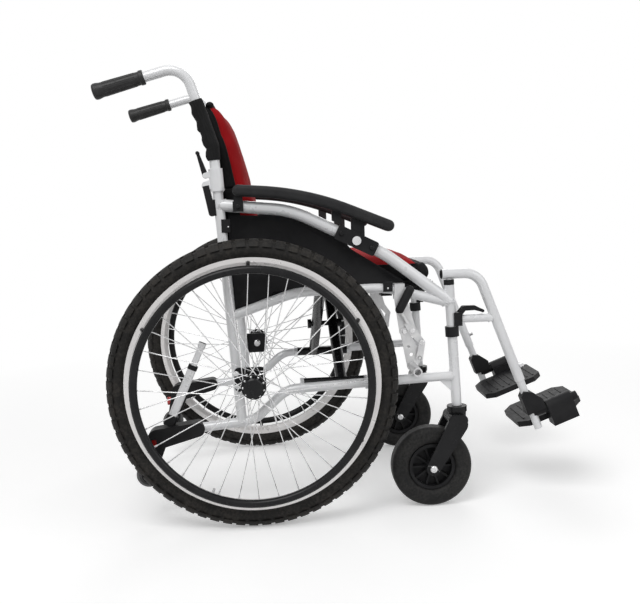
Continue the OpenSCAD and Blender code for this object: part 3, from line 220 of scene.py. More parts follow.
TYRE = rubber_of("tyre_rubber", (0.013, 0.0125, 0.012), (0.020, 0.019, 0.018), (0.046, 0.042, 0.038),
                 (0.5, 0.8), (700.0, 0.0003))
CASTOR_RUBBER = rubber_of("castor_rubber", (0.012, 0.012, 0.012), (0.02, 0.02, 0.02), (0.035, 0.034, 0.033),
                          (0.42, 0.66), (900.0, 0.00015))
GRIP = finish_of("grip_rubber", (0.014, 0.014, 0.014), (0.026, 0.026, 0.026), (0.34, 0.5), 0.0,
                 (1600.0, 0.00015), 0.0, 60.0, 0.3)
PAD = finish_of("pad_moulding", (0.018, 0.018, 0.019), (0.03, 0.03, 0.031), (0.5, 0.62), 0.0,
                (1100.0, 0.00025), 0.0, 30.0, 0.18)
GUARD = finish_of("guard_moulding", (0.011, 0.011, 0.012), (0.019, 0.019, 0.02), (0.5, 0.62), 0.0,
                  (1200.0, 0.0001), 0.0, 20.0, 0.12)
GREY_RUBBER = finish_of("grey_rubber", (0.10, 0.10, 0.10), (0.16, 0.16, 0.16), (0.5, 0.65), 0.0,
                        (800.0, 0.0001), 0.0, 60.0)
REFLECTOR = finish_of("reflector_red", (0.62, 0.015, 0.012), (0.42, 0.008, 0.008), (0.1, 0.18), 0.0,
                      (420.0, 0.0005), 0.6, 120.0)
PUMP = finish_of("pump_silver", (0.82, 0.82, 0.83), (0.72, 0.72, 0.73), (0.25, 0.36), 0.3,
                 (900.0, 0.00005), 0.2, 30.0)
RED = ((0.46, 0.012, 0.016), (0.27, 0.004, 0.006))
BLACK = ((0.02, 0.02, 0.021), (0.008, 0.008, 0.008))
RED_SEAT = cloth_of("red_cloth_seat", *RED, ("X", "Y"), 0.0012, 0.0002)
RED_BACK = cloth_of("red_cloth_back", *RED, ("Y", "Z"), 0.0012, 0.0002)
BLACK_SEAT = cloth_of("black_cloth_seat", *BLACK, ("X", "Y"), 0.0010, 0.0002, 0.8, 0.03)
BLACK_BACK = cloth_of("black_cloth_back", *BLACK, ("Y", "Z"), 0.0010, 0.0002, 0.8, 0.03)
WEBBING = cloth_of("black_webbing", (0.026, 0.026, 0.027), (0.009, 0.009, 0.009), ("Y", "Z"), 0.0022, 0.0006,
                   0.8, 0.05)
PIPING = cloth_of("black_piping", (0.024, 0.024, 0.024), (0.012, 0.012, 0.012), ("Y", "Z"), 0.0007, 0.0001,
                  0.7, 0.05)
THREAD = cloth_of("black_thread", (0.03, 0.03, 0.03), (0.015, 0.015, 0.015), ("X", "Z"), 0.0006, 0.0001,
                  0.7, 0.1)

FINISHES = {
    "side_frame": SILVER, "frame_fittings": MOULDED, "axle_carrier": MOULDED, "side_guard": GUARD,
    "anti_tip_arm": MOULDED, "anti_tip_wheel": GREY_RUBBER, "brake_plate": ZINC, "brake_lever": MOULDED,
    "brake_bar": ZINC, "brake_link": ZINC, "tyre": TYRE, "rim": ALLOY, "spoked_hub": STEEL, "handrim": COATED,
    "castor_fork": COATED, "castor_tyre": CASTOR_RUBBER, "castor_hub": MOULDED, "hanger": SILVER,
    "hanger_latch": MOULDED, "footrest_tube": SILVER, "footplate": MOULDED, "back_cane": SILVER,
    "push_grip": GRIP, "back_release": MOULDED, "armrest": PAD, "arm_button": STEEL, "brace_arm_a": COATED,
    "brace_arm_b": COATED, "hand_pump": PUMP}


def dress(node, base, *rules):
    """Gives a CAD node its finish, and each rule's finish to the faces whose centre passes its test."""
    mesh = NODES[node].data
    mesh.materials.clear()
    for mat in (base, *(mat for mat, _ in rules)):
        mesh.materials.append(mat)
    mesh.shade_smooth()
    mesh.set_sharp_from_angle(angle=math.radians(32))
    for poly in mesh.polygons:
        poly.material_index = 0
        c = poly.center
        x, y, z = c.x * 1000 + MID_X, abs(c.y) * 1000, c.z * 1000
        for k, (_, test) in enumerate(rules):
            if test(x, y, z):
                poly.material_index = k + 1


def foot_coords(x, z):
    """Along the footplate and up the leg, from the foot end."""
    dx, dz = x - FOOT_END[0], z - FOOT_END[1]
    cos, sin = math.cos(LEG_TILT), math.sin(LEG_TILT)
    return dx * cos + dz * sin, -dx * sin + dz * cos


def in_foot_clamp(x, y, z):
    """The clamp on the leg, and the stub in front of it that carries the footplate."""
    u, n = foot_coords(x, z)
    off_tube = math.hypot(u, y - FRAME_Y) > 9.6 or n < 70
    return (-14.6 < u < 30.6 and 39.5 < n < 93.6 and off_tube) or 9.3 < u < 97


def reflector_near(x, y, z):
    """The reflector's boss behind the anti-tip arm, and the floor of the window in its outer side."""
    up = z - REFLECTOR_Z
    boss = x < -249.5 or (x < -231 and 10.3 < math.hypot(y - FRAME_Y, up) < 11.5)
    window = abs(y - 243) < 0.4 and -227.5 < x < -215.5 and 164 < z < 184
    return (boss and abs(up) < REFLECTOR_R) or window


def pump_along(x, z):
    """Along the hand pump from its foot."""
    return (x - PUMP_FOOT[0]) * math.sin(PUMP_LEAN) + (z - PUMP_FOOT[1]) * math.cos(PUMP_LEAN)


def valve_near(x, y, z):
    """The valve inside the rim."""
    cos, sin, dz = math.cos(VALVE_AT), math.sin(VALVE_AT), z - TYRE_R
    along = x * cos + dz * sin
    across = abs(-x * sin + dz * cos)
    return along > 0 and across < 4 and abs(y - WHEEL_Y) < 4 and along < RIM_R - 17.5


RULES = {
    "spoked_hub": [(COATED, lambda x, y, z: math.hypot(x, z - TYRE_R) < 27 and abs(y - WHEEL_Y) < 44)],
    "rim": [(ZINC, valve_near)],
    "axle_carrier": [(STEEL, lambda x, y, z: y > 249.5 and (math.hypot(x, z - TYRE_R) < 7 or x < -30))],
    "castor_fork": [(STEEL, lambda x, y, z: math.hypot(x - CASTOR[0], z - CASTOR[1]) < 9)],
    "hanger": [(MOULDED, lambda x, y, z: (x < 457.6 and 399.5 < z < 446) or (x < 486 and 378 < z < 404.5)
                or (x < 471 and 424 < z < 446)),
               (STEEL, lambda x, y, z: foot_coords(x, z)[0] > 12.2 and 142 < foot_coords(x, z)[1] < 158)],
    "footrest_tube": [(MOULDED, in_foot_clamp)],
    "anti_tip_arm": [(REFLECTOR, reflector_near)],
    "brake_lever": [(ZINC, lambda x, y, z: z < 436)],
    "frame_fittings": [(SILVER, lambda x, y, z: x < -66 and z > 703),
                       (COATED, lambda x, y, z: y > 250.2)],
    "hand_pump": [(MOULDED, lambda x, y, z: 118.2 < pump_along(x, z) < 129.4 or pump_along(x, z) > 180)],
}

for node in NODES:
    kind = node.split("_", 1)[1] if node.split("_")[0] in ("right", "left") else node
    if kind in FINISHES:
        dress(node, FINISHES[kind], *RULES.get(kind, []))

# Mesh helpers


def link_mesh(name, points, faces, mats, kinds=None):
    """New object from points in the row frame, with outward faces and a finish for each face."""
    mesh = bpy.data.meshes.new(name)
    mesh.from_pydata([tuple(p) for p in points], [], faces)
    for mat in mats:
        mesh.materials.append(mat)
    if kinds:
        mesh.polygons.foreach_set("material_index", kinds)
    bm = bmesh.new()
    bm.from_mesh(mesh)
    bmesh.ops.recalc_face_normals(bm, faces=bm.faces)
    bm.to_mesh(mesh)
    bm.free()
    mesh.shade_smooth()
    obj = bpy.data.objects.new(name, mesh)
    bpy.context.scene.collection.objects.link(obj)
    return obj


def bake(obj):
    """Applies all modifiers of an object to its mesh."""
    depsgraph = bpy.context.evaluated_depsgraph_get()
    mesh = bpy.data.meshes.new_from_object(obj.evaluated_get(depsgraph))
    obj.modifiers.clear()
    obj.data = mesh


def smooth(obj):
    """Rounds a mesh by one level of subdivision."""
    sub = obj.modifiers.new("Smooth", "SUBSURF")
    sub.levels = 1
    sub.render_levels = 1
    bake(obj)
    obj.data.shade_smooth()


def skin(loops, closed=True, caps=True):
    """Points and faces over loops of equal length; caps close the two ends."""
    n = len(loops[0])
    points = [p for loop in loops for p in loop]
    faces = []
    for k in range(len(loops) - 1):
        for j in range(n if closed else n - 1):
            a, b = k * n + j, k * n + (j + 1) % n
            faces.append((a, b, b + n, a + n))
    if closed and caps:
        faces.append(tuple(range(n)))
        faces.append(tuple(range((len(loops) - 1) * n, len(loops) * n)))
    return points, faces


def merge(parts):
    """One list of points and faces from several."""
    points, faces = [], []
    for p, f in parts:
        start = len(points)
        points += p
        faces += [tuple(i + start for i in face) for face in f]
    return points, faces


def frame_at(axis):
    """Two directions across an axis."""
    axis = Vector(axis).normalized()
    side = axis.orthogonal().normalized()
    return side, axis.cross(side)


def tube_skin(path, radius, sides=8, closed=False):
    """Round tube along points, with a radius or one radius for each point."""
    loops = []
    count = len(path)
    radii = radius if hasattr(radius, "__len__") else [radius] * count
    up = Vector((0.31, 0.53, 0.79))
    for k, p in enumerate(path):
        before = path[k - 1] if closed or k > 0 else p
        after = path[(k + 1) % count] if closed or k < count - 1 else p
        along = (after - before).normalized()
        side = along.cross(up).normalized()
        other = along.cross(side)
        loops.append([p + radii[k] * (side * math.cos(a) + other * math.sin(a))
                      for a in (math.tau * j / sides for j in range(sides))])
    if closed:
        loops.append(loops[0])
    return skin(loops, caps=not closed)


def roughen(obj, size, depth, seed):
    """Moves points along their normals by a smooth field, for the small unevenness of stuffed cloth."""
    shift = Vector((seed * 3.7, seed * 1.9, seed * 0.7))
    mesh = obj.data
    normals = [Vector(n.vector) for n in mesh.vertex_normals]
    for v, n in zip(mesh.vertices, normals):
        v.co += n * depth * field.noise(v.co / size + shift)
    mesh.update()


def inflate(obj, pressure, cap, pinned, frames=20):
    """Blows a closed cloth up a little, with its pinned points held and no point moving further than cap."""
    rest = np.array([v.co for v in obj.data.vertices])
    group = obj.vertex_groups.new(name="pin")
    group.add(sorted(pinned), 1.0, "REPLACE")
    cloth = obj.modifiers.new("Cloth", "CLOTH")
    settings = cloth.settings
    settings.quality = 5
    settings.mass = 0.3
    settings.tension_stiffness = 25
    settings.compression_stiffness = 25
    settings.bending_stiffness = 0.6
    settings.use_pressure = True
    settings.uniform_pressure_force = pressure
    settings.effector_weights.gravity = 0
    settings.vertex_group_mass = "pin"
    scene = bpy.context.scene
    cloth.point_cache.frame_start = 1
    cloth.point_cache.frame_end = frames
    for f in range(1, frames + 1):
        scene.frame_set(f)
    bake(obj)
    scene.frame_set(1)
    obj.vertex_groups.clear()
    now = np.array([v.co for v in obj.data.vertices])
    move = now - rest
    length = np.linalg.norm(move, axis=1, keepdims=True)
    move *= np.minimum(1, cap / np.maximum(length, 1e-9))
    obj.data.vertices.foreach_set("co", (rest + move).ravel())
    obj.data.update()


# Soft goods

SQUASH_SEAT = {"axis": (0, 1, 0), "anchor": tuple(at(200, SEAT_TUBE_Y, SEAT_TUBE_Z)), "keep": 0.68}
SQUASH_BACK = {"axis": (0, 1, 0), "anchor": tuple(at(-60, -FRAME_Y, 700)), "keep": 0.71}


def goes_with(obj, body, slot, squash, *nodes):
    """Hides the nodes a piece replaces and hangs the piece on its body; a soft piece, one given a squash, gets
    a mesh of its own. The slot is not used.
    """
    if nodes:
        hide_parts(*nodes)
    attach(obj, body)
    if squash:
        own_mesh(obj)


def pillow(name, counts, levels, place, mats, red_rows, held=lambda u, v: False, seed=1.0):
    """Stuffed cover: a front panel, wall rows on its border and a rear panel, sewn below the red rows.

    place(u, v, t) gives a point: u and v run from -1 to 1 over the panel, t from 0 at the rear to 1 in front.
    """
    nu, nv = counts

    def spread(n):
        steps = [2 * i / n - 1 for i in range(n + 1)]
        return [math.sin(math.pi / 2 * step) * 0.5 + step * 0.5 for step in steps]

    us, vs = spread(nu), spread(nv)
    border = ([(i, 0) for i in range(nu)] + [(nu, j) for j in range(nv)]
              + [(nu - i, nv) for i in range(nu)] + [(0, nv - j) for j in range(nv)])
    points, faces, kinds, pinned = [], [], [], set()
    panels = []
    for t in (1.0, 0.0):
        start = len(points)
        panels.append(lambda i, j, start=start: start + i * (nv + 1) + j)
        for i in range(nu + 1):
            for j in range(nv + 1):
                if t == 0.0 or (i, j) in border and held(us[i], vs[j]):
                    pinned.add(len(points))
                points.append(place(us[i], vs[j], t))
        for i in range(nu):
            for j in range(nv):
                a = start + i * (nv + 1) + j
                faces.append((a, a + 1, a + nv + 2, a + nv + 1))
                kinds.append(0 if t else 1)
    loops = [[panels[0](i, j) for i, j in border]]
    for t in levels:
        loops.append(list(range(len(points), len(points) + len(border))))
        for i, j in border:
            if held(us[i], vs[j]):
                pinned.add(len(points))
            points.append(place(us[i], vs[j], t))
    loops.append([panels[1](i, j) for i, j in border])
    for k in range(len(loops) - 1):
        for j in range(len(border)):
            n = (j + 1) % len(border)
            faces.append((loops[k][j], loops[k][n], loops[k + 1][n], loops[k + 1][j]))
            kinds.append(0 if k < red_rows else 1)
    obj = link_mesh(name, points, faces, mats, kinds)
    inflate(obj, 4.0, 0.005, pinned)
    normals = [Vector(n.vector) for n in obj.data.vertex_normals]
    seam = []
    for k in loops[red_rows]:
        v = obj.data.vertices[k]
        v.co -= normals[k] * 0.0016
        seam.append(v.co + normals[k] * 0.0009)
    obj.data.update()
    smooth(obj)
    roughen(obj, 0.045, 0.0012, seed)
    return obj, seam


def piping(name, seam, radius=0.0014):
    """Cord sewn into a seam."""
    points, faces = tube_skin(seam, radius, 8, True)
    return link_mesh(name, points, faces, [PIPING])


# Seat: sling over the two seat tubes, cushion with a red top, and the wrinkled roll at its front

SEAT_REAR, SEAT_SEAM, SEAT_LOW = 10.0, 377.0, 500.8


def seat_place(u, v, t):
    mid, half = (SEAT_REAR + SEAT_SEAM) / 2, (SEAT_SEAM - SEAT_REAR) / 2
    corner = max(0.0, abs(u) - 0.9) / 0.1 * max(0.0, abs(v) - 0.9) / 0.1
    width = 200.0 - 4.0 * (1 - u * u) - 7.0 * corner
    edge = max(abs(u), abs(v)) ** 8
    fall = min(1.0, 1.5 * (u + 1)) * (1 - 0.85 * max(0.0, (u - 0.6) / 0.4) ** 2)
    crown = 38.0 + 20.0 * fall * (1 - v ** 4) - 2.0 * edge
    bulge = 1.5 * math.sin(math.pi * min(1.0, max(0.0, t))) if edge > 0.99 else 0.0
    return at(mid + (half - 5.0 * corner) * u, (width + bulge) * v, SEAT_LOW + crown * t)


seat, seam = pillow("seat_cushion_cover", (30, 30), (0.8, 0.55, 0.28), seat_place, [RED_SEAT, BLACK_SEAT], 0,
                    seed=1.0)
goes_with(seat, "seat", "red_cloth", SQUASH_SEAT, "seat_cushion")
goes_with(piping("seat_cushion_piping", seam), "seat", "black_cloth", SQUASH_SEAT)


def cloth_roll(name, counts, middle, radii, half, taper, least, waves, mat):
    """Roll across the chair with rounded ends; waves are its folds' height, pitch along and pitch round."""
    rows, sides = counts
    loops = []
    for i in range(2 * rows + 1):
        s = -1 + i / rows
        end = math.sqrt(max(0.0, 1 - max(0.0, (abs(s) - 1 + taper) / taper) ** 2)) * (1 - least) + least
        loop = []
        for j in range(sides):
            a = math.tau * j / sides
            cos, sin = math.cos(a), math.sin(a)
            r = end * (1 + sum(h * field.noise(Vector((s * p, cos * q, sin * q))) for h, p, q in waves))
            loop.append(at(middle[0] + radii[0] * r * cos, half * s, middle[1] + radii[1] * r * sin))
        loops.append(loop)
    roll = link_mesh(name, *skin(loops), [mat])
    smooth(roll)
    return roll


roll = cloth_roll("seat_front_roll", (28, 28), (380, 516), (17, 21), 199, 0.07, 0.015,
                  ((0.10, 7, 2.6), (0.06, 22, 4.0)), BLACK_SEAT)
goes_with(roll, "seat", "black_cloth", SQUASH_SEAT, "seat_cushion")


SLING_LENGTH, SLING_HALF, SLING_R, SLING_LIFT, SLING_SAG = 397, 209.2, 12.2, 0.2, 0.6


def sling_point(x, s):
    """Across the seat: flat between the tubes, then round the upper side of each tube."""
    y = s * SLING_HALF
    if abs(y) <= SEAT_TUBE_Y:
        sag = SLING_SAG * (1 - (y / SEAT_TUBE_Y) ** 2)
        return at(x, y, SEAT_TUBE_Z + SLING_R + SLING_LIFT - sag)
    a = (abs(y) - SEAT_TUBE_Y) / SLING_R
    y = math.copysign(SEAT_TUBE_Y + SLING_R * math.sin(a), y)
    return at(x, y, SEAT_TUBE_Z + SLING_R * math.cos(a) + SLING_LIFT)


def thick_sheet(name, rows, thickness, mat):
    """Sheet over rows of points, with a thickness and a rounded edge."""
    points, faces = skin(rows, closed=False)
    obj = link_mesh(name, points, faces, [mat])
    solid = obj.modifiers.new("Thickness", "SOLIDIFY")
    solid.thickness = thickness
    solid.offset = 0
    bake(obj)
    obj.data.shade_smooth()
    return obj


def stitches(path, length, gap, radius):
    """Short sewn stitches along a path."""
    parts = []
    total = 0.0
    on = []
    for a, b in zip(path, path[1:]):
        on.append((total, a, b))
        total += (b - a).length
    s = gap
    while s + length < total:
        ends = []
        for want in (s, s + length):
            start, a, b = [seg for seg in on if seg[0] <= want][-1]
            ends.append(a.lerp(b, (want - start) / max(1e-9, (b - a).length)))
        parts.append(tube_skin([ends[0], ends[0].lerp(ends[1], 0.5), ends[1]],
                               [radius * 0.6, radius, radius * 0.6], 5))
        s += length + gap
    return merge(parts)


EDGE = [-1 + i / 24 for i in range(49)]
SHEET = 0.0014
rows = [[sling_point(x, s) for s in EDGE] for x in np.linspace(0, SLING_LENGTH, 41)]
sling = thick_sheet("seat_sling_cloth", rows, SHEET, BLACK_SEAT)
hems = [tube_skin(row, 0.0016, 8) for row in (rows[0], rows[-1])]
hem = link_mesh("seat_sling_hem", *merge(hems), [PIPING])
goes_with(sling, "seat", "black_cloth", SQUASH_SEAT, "seat_sling")
goes_with(hem, "seat", "black_cloth", SQUASH_SEAT)


# Back: panels from cane to cane, the sleeves on the canes, and two stuffed pads that meet at the hinge line

BACK_SPLIT, BACK_LOW, BACK_HIGH = 716.0, 557.0, 893.0


def back_depth(z):
    """Thickness of the stuffed back at a height, rounded off at its top and bottom."""
    depth = 57 - 21 * min(1.0, max(0.0, (z - 694) / 108))
    if z > 858:
        depth -= 17 * (1 - math.sqrt(max(0.0, 1 - ((z - 858) / 36) ** 2)))
    if z < 584:
        depth -= 16 * (1 - math.sqrt(max(0.0, 1 - ((584 - z) / 28) ** 2)))
    return depth


def back_place(low, high):
    """Places a pad's points between two heights."""
    def place(u, v, t):
        z = low + (high - low) * (v + 1) / 2
        rise = (z - BACK_LOW) / (BACK_HIGH - BACK_LOW)
        edge = max(0.0, abs(u) - 0.88) / 0.12
        depth = back_depth(z) - 12 * (1 - math.sqrt(max(0.0, 1 - edge * edge))) + 3 * (1 - u * u)
        corner = 16 * max(0.0, rise - 0.9) ** 2 / 0.01 * edge
        half = 196.5 - 5 * (1 - (2 * rise - 1) ** 2) - corner
        return at(cane_x(z) + 9.6 + depth * t, half * u, z)
    return place


for name, low, high, body, seed in (("upper", BACK_SPLIT + 1, BACK_HIGH, "right_back", 2.0),
                                    ("lower", BACK_LOW, BACK_SPLIT - 0.6, "right_frame", 3.0)):
    split = -1 if name == "upper" else 1
    pad, seam = pillow(name + "_back_cover", (34, 16), (0.82, 0.68, 0.45, 0.22), back_place(low, high),
                       [RED_BACK, BLACK_BACK], 2, lambda u, v, split=split: v == split, seed)
    goes_with(pad, body, "red_cloth", SQUASH_BACK, name + "_back_pad")
    goes_with(piping(name + "_back_piping", seam), body, "black_cloth", SQUASH_BACK)

roll = cloth_roll("back_top_roll", (30, 18), (-70, 894.5), (9, 7.5), 190, 0.05, 0.02,
                  ((0.10, 14, 1),), BLACK_BACK)
goes_with(roll, "right_back", "black_cloth", SQUASH_BACK, "upper_back_pad")


PANEL_HALF, PANEL_FRONT, PANEL_SAG = 213.0, 7.6, 1.2


def panel_rows(low, high):
    """Rows of a back panel from its lower to its upper hem, sagging a little to the rear."""
    def point(s, z):
        sag = PANEL_SAG * (1 - s * s) * math.sin(math.pi * (z - low) / (high - low))
        return at(cane_x(z) + PANEL_FRONT - sag, PANEL_HALF * s, z)

    return [[point(s, z) for s in EDGE] for z in np.linspace(low, high, 25)]


for name, low, high, flat_height, body, node in (
        ("upper_back_panel", 720, 901, 0.1915, "right_back", "upper_back_sling"),
        ("lower_back_panel", 568, 707, 0.1394, "right_frame", "lower_back_pad")):
    rows = panel_rows(low, high)
    panel = thick_sheet(name, rows, SHEET, BLACK_BACK)
    hems = [tube_skin(row, 0.0017, 8) for row in (rows[0], rows[-1])]
    hem = link_mesh(name + "_hem", *merge(hems), [PIPING])
    inner = [[rows[k][j] + Vector((-0.0011, 0, 0)) for j in range(2, 47)] for k in (1, -2)]
    seams = [stitches(row, 0.0042, 0.0018, 0.0005) for row in inner]
    sewn = link_mesh(name + "_stitches", *merge(seams), [THREAD])
    goes_with(panel, body, "black_cloth", SQUASH_BACK, node)
    goes_with(hem, body, "black_cloth", SQUASH_BACK)
    goes_with(sewn, body, "black_cloth", SQUASH_BACK)

SLEEVE_LOW, SLEEVE_LENGTH, SLEEVE_R = 774, 125, 13.4

for side, s in SIDES:
    loops = []
    for i in range(64):
        z = SLEEVE_LOW + SLEEVE_LENGTH * i / 63
        lean = (cane_x(z + 1) - cane_x(z - 1)) / 2
        loop = []
        for j in range(36):
            a = math.tau * j / 36
            r = SLEEVE_R + 0.5 * field.noise(Vector((z / 9, math.cos(a) * 1.5, math.sin(a) * 1.5 + s)))
            flap = max(0.0, -math.cos(a)) ** 6
            r += flap * (2.4 + 1.5 * math.sin(z * 0.21) + 1.2 * field.noise(Vector((z / 7, 4.0, s))))
            r *= 0.93 + 0.07 * min(1.0, i / 2, (63 - i) / 2)
            ahead = r * math.cos(a)
            loop.append(at(cane_x(z) + ahead, s * FRAME_Y + r * math.sin(a), z - lean * ahead))
        loops.append(loop)
    sleeve = link_mesh(side + "_back_sleeve", *skin(loops, caps=False), [WEBBING])
    goes_with(sleeve, side + "_back", "black_cloth", None, "upper_back_sling")

# Side guards: panels under the arm tube whose front edge drops away from it, with rounded edges

GUARD_EDGE = ((-40, 659), (20, 655), (40, 657), (95, 652), (130, 640), (196, 606), (222, 575), (264.6, 547),
              (331.8, 504), (344, 489), (346, 478), (308.6, 487.6), (294, 489.4), (98, 488.2), (72.6, 486.9),
              (47.4, 486.9), (47.4, 471.5), (-40, 442.6))
GUARD_IN, GUARD_OUT, GUARD_ROUND = 213.6, 217.6, 0.9


def inset(outline, by):
    """Closed outline drawn in by a distance."""
    done = []
    for k, (x, z) in enumerate(outline):
        (xa, za), (xb, zb) = outline[k - 1], outline[(k + 1) % len(outline)]
        a, b = Vector((x - xa, z - za)).normalized(), Vector((xb - x, zb - z)).normalized()
        n = Vector((a.y + b.y, -a.x - b.x))
        n *= by / max(0.35, n.length_squared / 2) if n.length else 0
        done.append((x + n.x, z + n.y))
    return done


for side, s in SIDES:
    loops = [[at(x, s * y, z) for x, z in inset(GUARD_EDGE, by)] for by, y in
             ((GUARD_ROUND, GUARD_IN), (0.0, GUARD_IN + GUARD_ROUND), (0.0, GUARD_OUT - GUARD_ROUND),
              (GUARD_ROUND, GUARD_OUT), (5.0, GUARD_OUT), (5.8, GUARD_OUT - 0.7))]
    panel = link_mesh(side + "_guard_panel", *skin(loops), [GUARD])
    panel.data.set_sharp_from_angle(angle=math.radians(50))
    goes_with(panel, side + "_frame", "black_moulding", None, side + "_side_guard")

# Small hardware, one piece for each body and finish


def socket_screw(place, axis, d, h):
    """Button head screw with a hexagon socket, standing on place along axis."""
    side, other = frame_at(axis)
    axis = Vector(axis).normalized()
    loops = []

    def loop(radius, up):
        loops.append([place + axis * up + (side * math.cos(a) + other * math.sin(a)) * radius(a)
                      for a in (math.tau * j / 24 for j in range(24))])

    for share, up in ((0.5, 0.0), (0.5, 0.45), (0.47, 0.68), (0.4, 0.88), (0.3, 1.0)):
        loop(lambda a, r=share * d: r, up * h)
    six = lambda a: 0.23 * d * math.cos(math.pi / 6) / math.cos((a % (math.pi / 3)) - math.pi / 6)
    loop(six, h)
    loop(six, 0.35 * h)
    return skin(loops)


def rivet(place, axis, d, h):
    """Low domed rivet head."""
    side, other = frame_at(axis)
    axis = Vector(axis).normalized()
    loops = [[place + axis * up * h + (side * math.cos(a) + other * math.sin(a)) * share * d / 2
              for a in (math.tau * j / 20 for j in range(20))]
             for share, up in ((1.0, 0.0), (0.97, 0.4), (0.78, 0.8), (0.45, 1.0), (0.1, 1.06))]
    return skin(loops)


def weld(end, away, r, across, wide):
    """Rippled bead where a tube of radius r, going away from its end, meets one of radius wide along across."""
    away = Vector((away[0], 0, away[1])).normalized()
    across = Vector((across[0], 0, across[1])).normalized()
    up = Vector((-away.z, 0, away.x))
    sine = abs(away.cross(across).length)
    path, radii = [], []
    for j in range(72):
        a = math.tau * j / 72
        offset = up * math.cos(a) * r + Vector((0, math.sin(a) * r, 0))
        reach = math.sqrt(max(0.0, wide * wide - (math.sin(a) * r) ** 2)) / sine
        slide = -math.cos(a) * r * (up.dot(across) and away.dot(across) / up.dot(across))
        path.append((end, offset + away * (reach + slide)))
        radii.append(0.0015 * (1 + 0.22 * math.sin(a * 20)))
    return path, radii


def hardware(name, parts, mat, body, slot):
    """One rigid piece from several small parts."""
    obj = link_mesh(name, *merge(parts), [mat])
    obj.data.set_sharp_from_angle(angle=math.radians(40))
    goes_with(obj, body, slot, None)


UPRIGHT = (CANE[1][0] - CANE[0][0], CANE[1][1] - CANE[0][1])
FRONT = (432 - 444, 490 - 222)
WELDS = (((-45.9, 441), (142, 47), 10.5, UPRIGHT, 11.0), ((-57.4, 680), (152, -16), 13.0, UPRIGHT, 11.0),
         ((433.8, 450), (-140, 39), 10.5, FRONT, 11.0), ((433.7, 453), (-141, 110), 13.0, FRONT, 11.0),
         ((441, 289), (-371, -13), 10.5, FRONT, 11.0), ((-31, 208.6), UPRIGHT, 11.0, (1, 0.09), 10.5))
LEG = (-math.sin(LEG_TILT), math.cos(LEG_TILT))
ARM_SLOPE = (197 / math.hypot(197, 101), -101 / math.hypot(197, 101))
GRIP_END, GRIP_DIR = (-305.0, 921.0), (188 / 194.535, 50 / 194.535)

